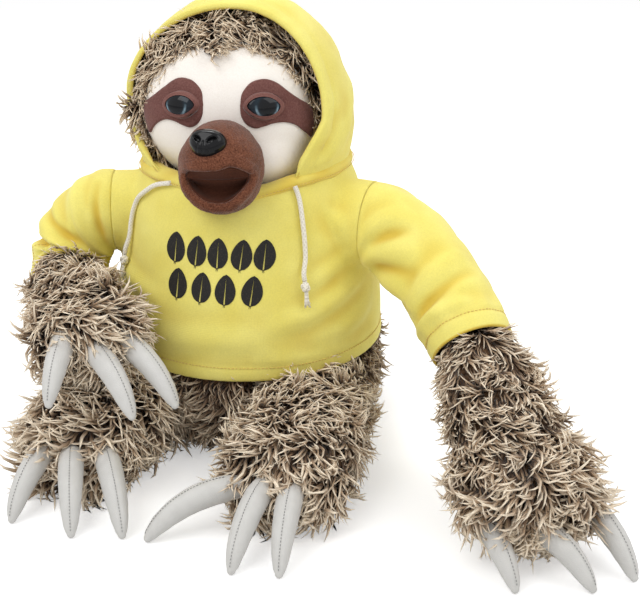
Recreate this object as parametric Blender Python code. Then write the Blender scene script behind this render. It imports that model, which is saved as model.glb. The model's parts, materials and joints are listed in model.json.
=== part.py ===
"""Seated plush sloth in a hooded sweatshirt: long-pile body, stuffed limbs, fabric claws and an open mouth.

The toy faces -Y and sits on Z = 0. Its origin is the middle of the flat seat. Lengths are in metres.
"Left" and "right" are the toy's own, so its left arm is on the +X side.
"""

import math

import bmesh
import bpy
from mathutils import Matrix, Vector

# Gaps between pieces that touch on the real toy
SEAT_GAP = 0.0003
FABRIC_GAP = 0.0006
SWEEP_GAP = 0.0006
# How far a facet's chord may dip under the curve that it follows
FACET_ROOM = 0.0008
CUT_OVERRUN = 0.004

# Torso: a stuffed, turned form with a flat seat and a hollow core
TORSO_RADIUS = 0.0970
TORSO_HEIGHT = 0.180
TORSO_OUTLINE_SHARES = (
    (0.72, 0.0), (0.85, 0.035), (0.94, 0.13), (0.985, 0.25), (1.0, 0.42), (0.98, 0.56), (0.945, 0.66),
    (0.86, 0.81), (0.74, 0.90), (0.56, 0.97), (0.40, 1.0),
)
CORE_RADIUS = 0.026
CORE_FLOOR = 0.012
CORE_TOP_DROP = 0.002
PELLET_BAG_HEIGHT = 0.040
BAG_CROWN_SHARE = 0.866

# Sweatshirt body: a knitted shell that hangs from the shoulders, with a collar ring round the neck
SWEAT_WALL = 0.0022
HEM_HEIGHT = 0.0645
SWEAT_OUTLINE_SHARES = (
    (1.0, 0.0), (0.99, 0.27), (0.955, 0.40), (0.925, 0.485), (0.89, 0.61), (0.85, 0.755), (0.80, 0.885),
)
COLLAR_RADIUS = 0.0735
COLLAR_HEIGHT = 0.1975

# Head: a stuffed skull that sits on the neck and turns about the vertical
HEAD_RADIUS = 0.0595
HEAD_SIDE = -0.0072
HEAD_HALF_DEPTH = 0.0600
HEAD_HALF_HEIGHT = 0.0590
HEAD_SEAT_SHARE = 0.9271
HEAD_CENTRE_HEIGHT = TORSO_HEIGHT + SEAT_GAP + HEAD_HALF_HEIGHT * HEAD_SEAT_SHARE
HEAD_CORE_RADIUS = 0.0150
HEAD_CORE_HEIGHT = 0.070

# Face: a short-pile panel over the front of the skull
FACE_THICKNESS = 0.0024
FACE_SIDE_ANGLE = 74.0
FACE_BROW_ANGLE = 54.0
FACE_CHIN_ANGLE = 56.0
FACE_TURN = 1.5
FACE_RINGS = 6

# Eye patches: darker panels laid over the face, outlined from the eye (outward, upward)
PATCH_THICKNESS = 0.0012
PATCH_LENGTH = 0.060
PATCH_HEIGHT = 0.045
PATCH_OUTLINE_SHARES = (
    (-0.285, 0.04), (-0.24, 0.24), (-0.15, 0.36), (-0.04, 0.42), (0.09, 0.42), (0.22, 0.34),
    (0.36, 0.20), (0.52, 0.07), (0.70, -0.04), (0.74, -0.28), (0.70, -0.56), (0.56, -0.47),
    (0.40, -0.34), (0.24, -0.26), (0.10, -0.27), (-0.02, -0.32), (-0.13, -0.34), (-0.23, -0.26),
    (-0.28, -0.12),
)
PATCH_RINGS = 4

# Eyes: glossy domes on shanks, with almond-shaped lids over them
EYE_SIDE = 0.0288
EYE_SHIFT = 0.0047
EYE_RISE = 0.0105
EYE_HALF_WIDTH = 0.0126
EYE_HALF_HEIGHT = 0.0096
EYE_BULGE = 0.0056
LID_THICKNESS = 0.0016
LID_OPEN_HALF_WIDTH = 0.0114
LID_OPEN_HALF_HEIGHT = 0.0060
SHANK_RADIUS = 0.0025
SHANK_LENGTH = 0.0110
SHANK_TAIL = 0.0010
WASHER_RADIUS = 0.0080
WASHER_THICKNESS = 0.0016
DOME_RINGS = 4

# Muzzle and lower jaw: one egg-shaped snout that the mouth divides
MUZZLE_HALF_WIDTH = 0.0280
MUZZLE_HALF_DEPTH = 0.0345
MUZZLE_HALF_HEIGHT = 0.0302
MUZZLE_SIDE = 0.0014
MUZZLE_FORWARD = 0.0790
MUZZLE_DROP = 0.0242
MUZZLE_HEIGHT = HEAD_CENTRE_HEIGHT - MUZZLE_DROP
HINGE_BACK = 0.0020
HINGE_FORWARD = MUZZLE_FORWARD - HINGE_BACK
HINGE_HEIGHT = MUZZLE_HEIGHT
MOUTH_RISE = 0.0045
MOUTH_UPPER_ANGLE = -4.0
MOUTH_LOWER_ANGLE = -45.0
MOUTH_REAR_ANGLE = -100.0
FOLD_RADIUS = 0.0022
LINING_THICKNESS = 0.0012
LIP_WIDTH = 0.0050
MOUTH_REACH = 0.060
WEDGE_CORNER_SHARE = 1.4
COLLAR_CLEARANCE = 0.0058

# Nose: a hard moulded button with two nostrils, sunk a little into the muzzle
NOSE_HALF_WIDTH = 0.0114
NOSE_HALF_HEIGHT = 0.0090
NOSE_BULGE = 0.0090
NOSE_HEADING = -96.5
NOSE_PITCH = 43.0
NOSE_SEAT = 0.0022
NOSTRIL_RADIUS = 0.0019
NOSTRIL_SPACING = 0.0080
NOSTRIL_DEPTH = 0.0030
NOSTRIL_DROP = 0.0020
NOSE_WASHER_RADIUS = 0.0065

# Hood: a bell of the same knit, open at the face, on a ring that matches the collar
HOOD_TOP = 0.3125
HOOD_OUTLINE_SHARES = (
    (1.0, 0.0), (1.035, 0.10), (1.06, 0.22), (1.05, 0.36), (0.97, 0.55), (0.83, 0.72), (0.62, 0.86),
    (0.36, 0.955), (0.14, 0.995),
)
HOOD_OPENING_HALF_WIDTH = 0.0660
HOOD_OPENING_HALF_HEIGHT = 0.0670
HOOD_OPENING_HEIGHT = 0.2360
HOOD_OPENING_BACK = 0.0200

# Drawstrings: round cords that leave the collar and lie down the chest, each with a knot and a tail
STRING_DIAMETER = 0.0034
KNOT_RADIUS = 0.0036
KNOT_HALF_HEIGHT = 0.0042
KNOT_TAIL = 0.0125
KNOT_TAIL_FLARE = 0.0004
LEFT_STRING_ROUTE = (
    (0.0475, -0.0609, 0.1945), (0.0495, -0.0620, 0.1900), (0.0515, -0.0639, 0.1840),
    (0.0535, -0.0664, 0.1736), (0.0555, -0.0692, 0.1600), (0.0565, -0.0717, 0.1475),
    (0.0563, -0.0763, 0.1385), (0.0570, -0.0772, 0.1330),
)
RIGHT_STRING_ROUTE = (
    (-0.0370, -0.0678, 0.1945), (-0.0500, -0.0613, 0.1905), (-0.0595, -0.0566, 0.1840),
    (-0.0669, -0.0513, 0.1770), (-0.0712, -0.0498, 0.1680), (-0.0733, -0.0504, 0.1590),
    (-0.0745, -0.0522, 0.1490), (-0.0770, -0.0549, 0.1405), (-0.0777, -0.0554, 0.1363),
)
STRING_STEPS = 3

# Arms: a stuffed upper arm in a sleeve, turning on a flat disc at the shoulder
SHOULDER_REACH = 0.0965
SHOULDER_LEVEL = 0.1580
SHOULDER_HEADING = 12.0
SHOULDER_PITCH = 0.0
SHOULDER_STUB = 0.040
SLEEVE_WALL = 0.0020
SLEEVE_RADIUS_SHARES = ((1.0, 0.0), (1.0, 0.12), (1.02, 0.35), (1.0, 0.60), (1.0, 0.82), (0.95, 1.0))
SLEEVE_RADIUS = 0.0295

# Elbow: a ball on the forearm that turns in a cup at the upper arm's end
ELBOW_RADIUS = 0.0222
ELBOW_STANDOFF = 0.0140

# Forearm: the long-pile lower arm that widens into a paw
FOREARM_SHARES = (
    (0.16, 0.93, 0.95), (0.32, 1.0, 1.02), (0.54, 1.12, 1.08), (0.74, 1.25, 1.05), (0.88, 1.22, 0.94),
    (0.96, 0.97, 0.72), (1.0, 0.62, 0.44),
)
LEFT_ARM = {
    "side": 1, "root_handle": 0.032, "upper_heading": -45.4, "upper_pitch": -28.5, "upper_length": 0.1363,
    "cuff_heading": -60.0, "cuff_pitch": -36.0, "cuff_handle": 0.040,
    "lower_heading": -63.5, "lower_pitch": -32.0, "lower_length": 0.1130,
    "paw_heading": -70.0, "paw_pitch": -14.0, "paw_handle": 0.030,
    "half_width": 0.0300, "half_height": 0.0245,
}
RIGHT_ARM = {
    "side": -1, "root_handle": 0.033, "upper_heading": 236.7, "upper_pitch": -47.0, "upper_length": 0.067,
    "cuff_heading": -70.0, "cuff_pitch": -12.0, "cuff_handle": 0.022,
    "lower_heading": -62.0, "lower_pitch": -6.0, "lower_length": 0.091,
    "paw_heading": -76.0, "paw_pitch": -12.0, "paw_handle": 0.028,
    "half_width": 0.0265, "half_height": 0.0235,
}

# Legs: one stuffed form each from hip to foot, lying on the floor
HIP_SIDE = 0.0575
HIP_FORWARD = 0.0420
LEG_HALF_WIDTH = 0.0355
LEG_HALF_HEIGHT = 0.0300
FLOOR_CUT = 0.0005
LEG_SHARES = (
    (0.14, 1.0, 1.0), (0.32, 0.98, 1.02), (0.54, 1.0, 1.04), (0.75, 1.06, 1.02), (0.89, 0.98, 0.92),
    (0.97, 0.72, 0.72), (1.0, 0.42, 0.46),
)
LEFT_LEG = {"side": 1, "length": 0.137, "hip_heading": -84.0, "leg_heading": -90.0, "foot_heading": -96.0}
RIGHT_LEG = {"side": -1, "length": 0.121, "hip_heading": -112.0, "leg_heading": -105.0, "foot_heading": -92.0}
LEG_HANDLE = 0.042
SPLAY_OUT = 25.0
SPLAY_MARGIN = 4.0
LEG_CLEARANCE_HEIGHT = 0.0020

# Claws: curved, stuffed horns of coated fabric, three to a limb
CLAW_LENGTH = 0.060
CLAW_ROOT = 0.010
CLAW_HALF_WIDTH = 0.0068
CLAW_HALF_DEPTH = 0.0078
CLAW_TIP_RADIUS = 0.0028
CLAW_TAPER_POWER = 1.9
CLAW_STATIONS = 7
CLAW_CAP_SHARE = 0.6
CLAW_SOCKET_REACH_SHARE = 0.60
# Each claw: where its tip rests, its heading, and its pitch at the root and at the tip
LEFT_HAND_CLAWS = (
    ((0.2099, -0.2218, 0.0032), -57.0, 10.0, -54.0),
    ((0.2549, -0.2139, 0.0032), -36.0, 10.0, -54.0),
    ((0.2798, -0.1978, 0.0032), -52.0, 10.0, -54.0),
)
RIGHT_HAND_CLAWS = (
    ((-0.0900, -0.1810, 0.0780), -86.0, 2.0, -54.0),
    ((-0.0376, -0.1731, 0.0700), -44.0, 2.0, -54.0),
    ((-0.0139, -0.1566, 0.0720), -35.0, 2.0, -54.0),
)
LEFT_FOOT_CLAWS = (
    ((-0.0198, -0.2076, 0.0032), -149.0, 8.0, -52.0),
    ((0.0405, -0.2326, 0.0032), -100.0, 8.0, -58.0),
    ((0.0697, -0.2312, 0.0032), -88.0, 8.0, -58.0),
)
RIGHT_FOOT_CLAWS = (
    ((-0.1134, -0.2018, 0.0032), -100.0, 8.0, -58.0),
    ((-0.0693, -0.2118, 0.0032), -72.0, 8.0, -58.0),
    ((-0.0370, -0.2072, 0.0032), -62.0, 8.0, -58.0),
)

SHARP_ANGLE = 40.0
ROUND_STEPS = 26
CUT_STEPS = 40
LIMB_STEPS = 16
CLAW_STEPS = 8
EYE_STEPS = 16
BALL_RINGS = 3
HEAD_RINGS = 10
ARM_STATIONS = 6

FINISHES = {
    "long_pile": ((0.30, 0.22, 0.15), 0.95, 0.0),
    "knit": ((0.87, 0.78, 0.13), 0.85, 0.0),
    "face_plush": ((0.86, 0.80, 0.72), 0.90, 0.0),
    "patch_plush": ((0.17, 0.07, 0.06), 0.90, 0.0),
    "muzzle_plush": ((0.30, 0.11, 0.06), 0.90, 0.0),
    "lining": ((0.06, 0.02, 0.02), 0.90, 0.0),
    "gloss_black": ((0.01, 0.01, 0.012), 0.12, 0.0),
    "claw_cloth": ((0.58, 0.57, 0.54), 0.60, 0.0),
    "cord": ((0.85, 0.82, 0.74), 0.85, 0.0),
    "stuffing": ((0.90, 0.90, 0.88), 1.0, 0.0),
    "pellets": ((0.55, 0.52, 0.46), 0.80, 0.0),
    "washer": ((0.80, 0.80, 0.78), 0.45, 0.0),
}
UP = Vector((0.0, 0.0, 1.0))


def clear_scene():
    for obj in list(bpy.data.objects):
        bpy.data.objects.remove(obj, do_unlink=True)


def finish_object(name, mesh, finish, is_cutter=False):
    """Link a mesh as an object: a coloured piece, or a wire guide that only cuts."""
    obj = bpy.data.objects.new(name, mesh)
    bpy.context.collection.objects.link(obj)
    if is_cutter:
        obj.hide_render = True
        obj.display_type = "WIRE"
        return obj
    colour, roughness, metallic = FINISHES[finish]
    material = bpy.data.materials.new(name)
    material.use_nodes = True
    shader = material.node_tree.nodes["Principled BSDF"]
    shader.inputs["Base Color"].default_value = (*colour, 1.0)
    shader.inputs["Roughness"].default_value = roughness
    shader.inputs["Metallic"].default_value = metallic
    mesh.materials.append(material)
    mesh.shade_smooth()
    mesh.set_sharp_from_angle(angle=math.radians(SHARP_ANGLE))
    return obj


def mesh_from(name, points, faces):
    mesh = bpy.data.meshes.new(name)
    mesh.from_pydata(points, [], faces)
    shape = bmesh.new()
    shape.from_mesh(mesh)
    bmesh.ops.recalc_face_normals(shape, faces=shape.faces)
    shape.to_mesh(mesh)
    shape.free()
    return mesh


def bridge(first, second, count):
    """Quads between two rings of the same count, given by their first vertex numbers."""
    return [
        (first + i, first + (i + 1) % count, second + (i + 1) % count, second + i)
        for i in range(count)
    ]


def rings_solid(name, rings, finish, is_cutter=False, is_loop=False):
    """A closed solid through a row of rings. A ring of one point is a pole; a loop joins last to first."""
    points = []
    starts = []
    faces = []
    for ring in rings:
        starts.append(len(points))
        points.extend(ring)
    count = max(len(ring) for ring in rings)
    pairs = list(zip(range(len(rings) - 1), range(1, len(rings))))
    if is_loop:
        pairs.append((len(rings) - 1, 0))
    for low, high in pairs:
        if len(rings[low]) == 1:
            faces += [(starts[low], starts[high] + (i + 1) % count, starts[high] + i) for i in range(count)]
        elif len(rings[high]) == 1:
            faces += [(starts[low] + i, starts[low] + (i + 1) % count, starts[high]) for i in range(count)]
        else:
            faces += bridge(starts[low], starts[high], count)
    if not is_loop:
        if len(rings[0]) > 1:
            faces.append(tuple(reversed(range(count))))
        if len(rings[-1]) > 1:
            faces.append(tuple(range(starts[-1], starts[-1] + count)))
    return finish_object(name, mesh_from(name, points, faces), finish, is_cutter)


def oval(centre, side, lift, half_width, half_height, steps):
    turn = 2.0 * math.pi / steps
    return [
        centre + side * (half_width * math.cos(i * turn)) + lift * (half_height * math.sin(i * turn))
        for i in range(steps)
    ]


def direction(heading, pitch):
    h = math.radians(heading)
    p = math.radians(pitch)
    return Vector((math.cos(p) * math.cos(h), math.cos(p) * math.sin(h), math.sin(p)))


def frame(forward):
    """The side and lift directions square to a forward direction."""
    side = UP.cross(forward).normalized()
    return side, forward.cross(side).normalized()


def bezier(p0, p1, p2, p3, t):
    s = 1.0 - t
    return p0 * s ** 3 + p1 * (3.0 * s * s * t) + p2 * (3.0 * s * t * t) + p3 * t ** 3


def bezier_slope(p0, p1, p2, p3, t):
    s = 1.0 - t
    return ((p1 - p0) * (s * s) + (p2 - p1) * (2.0 * s * t) + (p3 - p2) * (t * t)).normalized()


def read_share(table, share):
    """Read a (value, share) table in straight steps."""
    for (low_value, low), (high_value, high) in zip(table, table[1:]):
        if share <= high:
            return low_value + (high_value - low_value) * (share - low) / (high - low)
    return table[-1][0]


def turned(name, profile, finish, steps=ROUND_STEPS, depth_share=1.0, is_cutter=False, axis_side=0.0):
    """Turn (radius, height) points about the vertical. A radius of zero is a pole."""
    rings = []
    for radius, height in profile:
        if radius == 0.0:
            rings.append([Vector((axis_side, 0.0, height))])
        else:
            centre = Vector((axis_side, 0.0, height))
            depth_way = Vector((0.0, depth_share, 0.0))
            ring = oval(centre, Vector((1.0, 0.0, 0.0)), depth_way, radius, radius, steps)
            rings.append(ring)
    return rings_solid(name, rings, finish, is_cutter)


def cylinder(name, start, end, radius, steps=EYE_STEPS):
    """A round cutter between two points."""
    side, lift = frame((end - start).normalized())
    rings = [oval(spot, side, lift, radius, radius, steps) for spot in (start, end)]
    return rings_solid(name, rings, "washer", is_cutter=True)


def ball(name, centre, radii, finish, rings=10, steps=20, is_cutter=False):
    rows = [[centre - Vector((0.0, 0.0, radii[2]))]]
    for i in range(1, rings):
        angle = math.pi * i / rings
        height = -radii[2] * math.cos(angle)
        spot = centre + Vector((0.0, 0.0, height))
        rows.append(oval(spot, Vector((1.0, 0.0, 0.0)), Vector((0.0, 1.0, 0.0)),
                         radii[0] * math.sin(angle), radii[1] * math.sin(angle), steps))
    rows.append([centre + Vector((0.0, 0.0, radii[2]))])
    return rings_solid(name, rows, finish, is_cutter)


def prism_across(name, outline, half_width, centre_side):
    """Extrude (forward, height) points from the toy's right to its left."""
    rings = [
        [Vector((centre_side + side, -forward, height)) for forward, height in outline]
        for side in (-half_width, half_width)
    ]
    return rings_solid(name, rings, "lining", is_cutter=True)


def prism_up(name, outline, low, high):
    rings = [[Vector((x, y, height)) for x, y in outline] for height in (low, high)]
    return rings_solid(name, rings, "long_pile", is_cutter=True)


def combine(obj, other, operation="DIFFERENCE"):
    step = obj.modifiers.new(other.name, "BOOLEAN")
    step.operation = operation
    step.object = other
    step.solver = "EXACT"


def pivot(name, place):
    empty = bpy.data.objects.new(name, None)
    empty.location = place
    empty.empty_display_size = SLEEVE_RADIUS
    bpy.context.collection.objects.link(empty)
    return empty


def attach(parent, *children):
    """Parent pieces to a pivot and keep them where they are."""
    for child in children:
        child.parent = parent
        child.matrix_parent_inverse = Matrix.Translation(-parent.location)


def shoulder_frame(side):
    """The shoulder disc's centre and the way it faces."""
    heading = -SHOULDER_HEADING if side > 0 else 180.0 + SHOULDER_HEADING
    outward = direction(heading, 0.0) * SHOULDER_REACH
    return Vector((outward.x, outward.y, SHOULDER_LEVEL)), direction(heading, SHOULDER_PITCH)


def hip_point(side):
    return Vector((side * HIP_SIDE, -HIP_FORWARD, LEG_HALF_HEIGHT - FLOOR_CUT))


def sweat_inner_profile():
    inner = TORSO_RADIUS + FABRIC_GAP
    rise = COLLAR_HEIGHT - HEM_HEIGHT
    profile = [(inner * radius, HEM_HEIGHT + rise * share) for radius, share in SWEAT_OUTLINE_SHARES]
    profile.append((COLLAR_RADIUS - SWEAT_WALL, COLLAR_HEIGHT))
    return profile


def leg_sweep_outline(leg):
    """Plan of the room that one leg needs as it splays: a round back and two straight flanks."""
    hip = hip_point(leg["side"])
    radius = LEG_HALF_WIDTH / math.cos(math.pi / CUT_STEPS) + SWEEP_GAP
    outward = leg["side"]
    turn_out = leg["leg_heading"] + outward * (SPLAY_OUT + SPLAY_MARGIN)
    turn_in = leg["leg_heading"] - outward * SPLAY_MARGIN
    low = min(turn_out, turn_in)
    high = max(turn_out, turn_in)
    reach = leg["length"]
    outline = []
    arc_start = high + 90.0
    arc_span = 180.0 - (high - low)
    arc_steps = CUT_STEPS // 2
    for i in range(arc_steps + 1):
        spot = hip + direction(arc_start + arc_span * i / arc_steps, 0.0) * radius
        outline.append((spot.x, spot.y))
    far_low = hip + direction(low - 90.0, 0.0) * radius + direction(low, 0.0) * reach
    far_high = hip + direction(high + 90.0, 0.0) * radius + direction(high, 0.0) * reach
    outline.append((far_low.x, far_low.y))
    outline.append((far_high.x, far_high.y))
    return outline


def make_torso():
    profile = [(TORSO_RADIUS * radius, TORSO_HEIGHT * share) for radius, share in TORSO_OUTLINE_SHARES]
    torso = turned("torso", profile, "long_pile")
    for side, word in ((1, "left"), (-1, "right")):
        centre, facing = shoulder_frame(side)
        radius = SLEEVE_RADIUS - SLEEVE_WALL - FABRIC_GAP
        pad = cylinder(f"cut_pad_{word}", centre - facing * SHOULDER_STUB, centre - facing * (SEAT_GAP / 2.0),
                       radius, steps=LIMB_STEPS)
        combine(torso, pad, "UNION")
    leg_top = 2.0 * LEG_HALF_HEIGHT + LEG_CLEARANCE_HEIGHT
    for leg, word in ((LEFT_LEG, "left"), (RIGHT_LEG, "right")):
        room = prism_up(f"cut_leg_room_{word}", leg_sweep_outline(leg), -CUT_OVERRUN, leg_top)
        combine(torso, room)
    top = TORSO_HEIGHT + CUT_OVERRUN
    core_profile = [(CORE_RADIUS, CORE_FLOOR), (CORE_RADIUS, top)]
    core = turned("cut_core", core_profile, "stuffing", EYE_STEPS, is_cutter=True)
    combine(torso, core)
    fill = CORE_RADIUS - FABRIC_GAP
    bag_low = CORE_FLOOR + SEAT_GAP
    bag_high = bag_low + PELLET_BAG_HEIGHT
    crown = fill * BAG_CROWN_SHARE
    bag_edge = fill - crown
    bag = turned("pellet_bag", [(crown, bag_low), (fill, bag_low + bag_edge), (fill, bag_high - bag_edge),
                                (crown, bag_high)], "pellets", EYE_STEPS)
    wad = turned("torso_stuffing", [(fill, bag_high + SEAT_GAP), (fill, TORSO_HEIGHT - CORE_TOP_DROP)],
                 "stuffing", EYE_STEPS)
    return torso, bag, wad


def make_sweat_body():
    inner = sweat_inner_profile()
    outer = [(radius + SWEAT_WALL, height) for radius, height in inner]
    body = turned("hoodie_body", outer, "knit")
    below = (inner[0][0], HEM_HEIGHT - CUT_OVERRUN)
    above = (inner[-1][0], COLLAR_HEIGHT + CUT_OVERRUN)
    hollow = turned("cut_sweat_hollow", [below, *inner, above], "knit", is_cutter=True)
    for side, word in ((1, "left"), (-1, "right")):
        centre, facing = shoulder_frame(side)
        stub = cylinder(f"cut_stub_{word}", centre - facing * SHOULDER_STUB,
                        centre - facing * (SEAT_GAP / 2.0), SLEEVE_RADIUS, steps=LIMB_STEPS)
        combine(body, stub, "UNION")
    combine(body, hollow)
    for side, word in ((1, "left"), (-1, "right")):
        centre, facing = shoulder_frame(side)
        bore = cylinder(f"cut_armhole_{word}", centre - facing * (SHOULDER_STUB + CUT_OVERRUN),
                        centre + facing * CUT_OVERRUN, SLEEVE_RADIUS - SLEEVE_WALL, steps=LIMB_STEPS)
        combine(body, bore)
    return body


def catmull(route, steps):
    """Points along a smooth curve through the route."""
    spots = [Vector(spot) for spot in route]
    spots = [spots[0] * 2.0 - spots[1], *spots, spots[-1] * 2.0 - spots[-2]]
    points = []
    for a, b, c, d in zip(spots, spots[1:], spots[2:], spots[3:]):
        for i in range(steps):
            t = i / steps
            points.append((b * 2.0 + (c - a) * t + (a * 2.0 - b * 5.0 + c * 4.0 - d) * t ** 2
                           + (b * 3.0 - a - c * 3.0 + d) * t ** 3) / 2.0)
    points.append(spots[-2])
    return points


def make_string(word, route):
    points = catmull(route, STRING_STEPS)
    curve = bpy.data.curves.new(f"drawstring_{word}", "CURVE")
    curve.dimensions = "3D"
    curve.bevel_depth = STRING_DIAMETER / 2.0
    curve.bevel_resolution = 2
    curve.use_fill_caps = True
    spline = curve.splines.new("POLY")
    spline.points.add(len(points) - 1)
    for spot, point in zip(spline.points, points):
        spot.co = (*point, 1.0)
    material = bpy.data.materials.new(f"drawstring_{word}")
    material.use_nodes = True
    colour, roughness, metallic = FINISHES["cord"]
    shader = material.node_tree.nodes["Principled BSDF"]
    shader.inputs["Base Color"].default_value = (*colour, 1.0)
    shader.inputs["Roughness"].default_value = roughness
    shader.inputs["Metallic"].default_value = metallic
    curve.materials.append(material)
    cord = bpy.data.objects.new(f"drawstring_{word}", curve)
    bpy.context.collection.objects.link(cord)
    hang = (points[-1] - points[-2]).normalized()
    top = points[-1] + hang * SEAT_GAP
    side, lift = frame(hang)
    radius = STRING_DIAMETER / 2.0
    knot_end = 2.0 * KNOT_HALF_HEIGHT
    middle = KNOT_HALF_HEIGHT
    waist = (KNOT_RADIUS + radius) / 2.0
    stations = (
        (0.0, radius), (middle / 2.0, waist + (KNOT_RADIUS - waist) / 2.0), (middle, KNOT_RADIUS),
        (knot_end - middle / 2.0, waist + (KNOT_RADIUS - waist) / 2.0), (knot_end, radius),
        (knot_end + KNOT_TAIL, radius + KNOT_TAIL_FLARE),
    )
    rings = [oval(top + hang * along, side, lift, size, size, CLAW_STEPS) for along, size in stations]
    knot = rings_solid(f"knot_{word}", rings, "cord")
    return cord, knot


def face_offsets():
    """How far the face panel's inside and outside lie over the skull."""
    inside = SEAT_GAP + FACET_ROOM
    return inside, inside + FACE_THICKNESS


def patch_offsets():
    """The same for the eye patches, which lie over the face panel."""
    inside = face_offsets()[1] + SEAT_GAP + FACET_ROOM
    return inside, inside + PATCH_THICKNESS


def head_surface(offset):
    """Half sizes of the skull, grown by an offset."""
    return HEAD_RADIUS + offset, HEAD_HALF_DEPTH + offset, HEAD_HALF_HEIGHT + offset


def on_head(way, offset):
    """Where a line from the skull's centre meets the skull grown by an offset, and the outward normal."""
    half = head_surface(offset)
    centre = Vector((HEAD_SIDE, 0.0, HEAD_CENTRE_HEIGHT))
    scale = math.sqrt(sum((way[i] / half[i]) ** 2 for i in range(3)))
    spot = way / scale
    normal = Vector([spot[i] / half[i] ** 2 for i in range(3)]).normalized()
    return centre + spot, normal


def eye_frame(side, offset):
    """The point, outward normal, outward tangent and upward tangent at an eye."""
    half = head_surface(offset)
    reach = side * EYE_SIDE + EYE_SHIFT
    drop = (reach / half[0]) ** 2 + (EYE_RISE / half[2]) ** 2
    way = Vector((reach, -half[1] * math.sqrt(1.0 - drop), EYE_RISE))
    spot, normal = on_head(way, offset)
    across, lift = frame(normal)
    return spot, normal, across * side, lift


def make_head():
    base = TORSO_HEIGHT + SEAT_GAP
    profile = []
    rings = HEAD_RINGS
    low = math.acos((HEAD_CENTRE_HEIGHT - base) / HEAD_HALF_HEIGHT)
    for i in range(rings):
        angle = low + (math.pi - low) * i / rings
        height = HEAD_CENTRE_HEIGHT - HEAD_HALF_HEIGHT * math.cos(angle)
        profile.append((HEAD_RADIUS * math.sin(angle), height))
    profile.append((0.0, HEAD_CENTRE_HEIGHT + HEAD_HALF_HEIGHT))
    depth_share = HEAD_HALF_DEPTH / HEAD_RADIUS
    head = turned("head", profile, "long_pile", depth_share=depth_share, axis_side=HEAD_SIDE)
    core_top = base + HEAD_CORE_HEIGHT
    core = turned("cut_head_core", [(HEAD_CORE_RADIUS, base - CUT_OVERRUN), (HEAD_CORE_RADIUS, core_top)],
                  "stuffing", EYE_STEPS, is_cutter=True)
    combine(head, core)
    fill = HEAD_CORE_RADIUS - FABRIC_GAP
    wad_profile = [(fill, base + FABRIC_GAP), (fill, core_top - SEAT_GAP)]
    wad = turned("head_stuffing", wad_profile, "stuffing", EYE_STEPS)
    return head, wad


def make_face():
    """A cap of even thickness over the skull's front."""
    inside, outside = face_offsets()
    facing = Matrix.Rotation(math.radians(FACE_TURN), 3, "Z")
    layers = []
    for offset in (outside, inside):
        rings = []
        for row in range(FACE_RINGS + 1):
            if row == 0:
                rings.append([on_head(facing @ Vector((0.0, -1.0, 0.0)), offset)[0]])
                continue
            ring = []
            for i in range(ROUND_STEPS):
                turn = 2.0 * math.pi * i / ROUND_STEPS
                high = FACE_BROW_ANGLE if math.sin(turn) > 0.0 else FACE_CHIN_ANGLE
                reach = FACE_SIDE_ANGLE + (high - FACE_SIDE_ANGLE) * math.sin(turn) ** 2
                angle = math.radians(reach) * row / FACE_RINGS
                out = math.sin(angle)
                way = Vector((out * math.cos(turn), -math.cos(angle), out * math.sin(turn)))
                way.rotate(facing)
                ring.append(on_head(way, offset)[0])
            rings.append(ring)
        layers.append(rings)
    outer, inner = layers
    return rings_solid("face_panel", outer + inner[::-1], "face_plush")


def make_patch(side, word):
    """A panel laid on the face: its outline shrinks ring by ring to the eye's shank hole."""
    low, high = patch_offsets()
    centre = Vector((HEAD_SIDE, 0.0, HEAD_CENTRE_HEIGHT))
    hole = SHANK_RADIUS / 2.0
    layers = []
    for offset in (high, low):
        spot, _, outward, lift = eye_frame(side, offset)
        rings = []
        for row in range(PATCH_RINGS + 1):
            share = 1.0 - row / PATCH_RINGS
            ring = []
            for u, v in PATCH_OUTLINE_SHARES:
                edge = Vector((u * PATCH_LENGTH, v * PATCH_HEIGHT))
                flat = edge * share + edge.normalized() * (hole * (1.0 - share))
                way = spot + outward * flat.x + lift * flat.y - centre
                ring.append(on_head(way, offset)[0])
            rings.append(ring)
        layers.append(rings)
    outer, inner = layers
    return rings_solid(f"eye_patch_{word}", outer + inner[::-1], "patch_plush", is_loop=True)


def dome_ring(spot, normal, across, lift, half, angle):
    """One ring of a dome: angle 90 degrees is its rim and 0 its crown."""
    width, height, bulge = half
    centre = spot + normal * (bulge * math.cos(angle))
    return oval(centre, across, lift, width * math.sin(angle), height * math.sin(angle), EYE_STEPS)


def shank_rings(spot, normal, across, lift):
    end = spot - normal * SHANK_LENGTH
    return [
        oval(end, across, lift, SHANK_RADIUS, SHANK_RADIUS, EYE_STEPS),
        oval(spot, across, lift, SHANK_RADIUS, SHANK_RADIUS, EYE_STEPS),
    ]


def washer_and_pocket(word, spot, normal, radius, host_cuts):
    """A washer on a shank, with the pocket and the hole that its hosts need."""
    face = spot - normal * (SHANK_LENGTH - SHANK_TAIL - WASHER_THICKNESS)
    back = spot - normal * (SHANK_LENGTH - SHANK_TAIL)
    side, lift = frame(normal)
    bore = SHANK_RADIUS + SEAT_GAP
    rings = [
        oval(face, side, lift, radius, radius, EYE_STEPS), oval(back, side, lift, radius, radius, EYE_STEPS),
        oval(back, side, lift, bore, bore, EYE_STEPS), oval(face, side, lift, bore, bore, EYE_STEPS),
    ]
    washer = rings_solid(f"{word}_washer", rings, "washer", is_loop=True)
    deep_end = spot - normal * (SHANK_LENGTH + SEAT_GAP)
    pocket = cylinder(f"cut_{word}_pocket", deep_end, face + normal * SEAT_GAP,
                      radius + SEAT_GAP)
    hole = cylinder(f"cut_{word}_hole", spot - normal * SHANK_LENGTH, spot + normal * CUT_OVERRUN, bore)
    for host in host_cuts:
        combine(host, hole)
    combine(host_cuts[0], pocket)
    return washer


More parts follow.
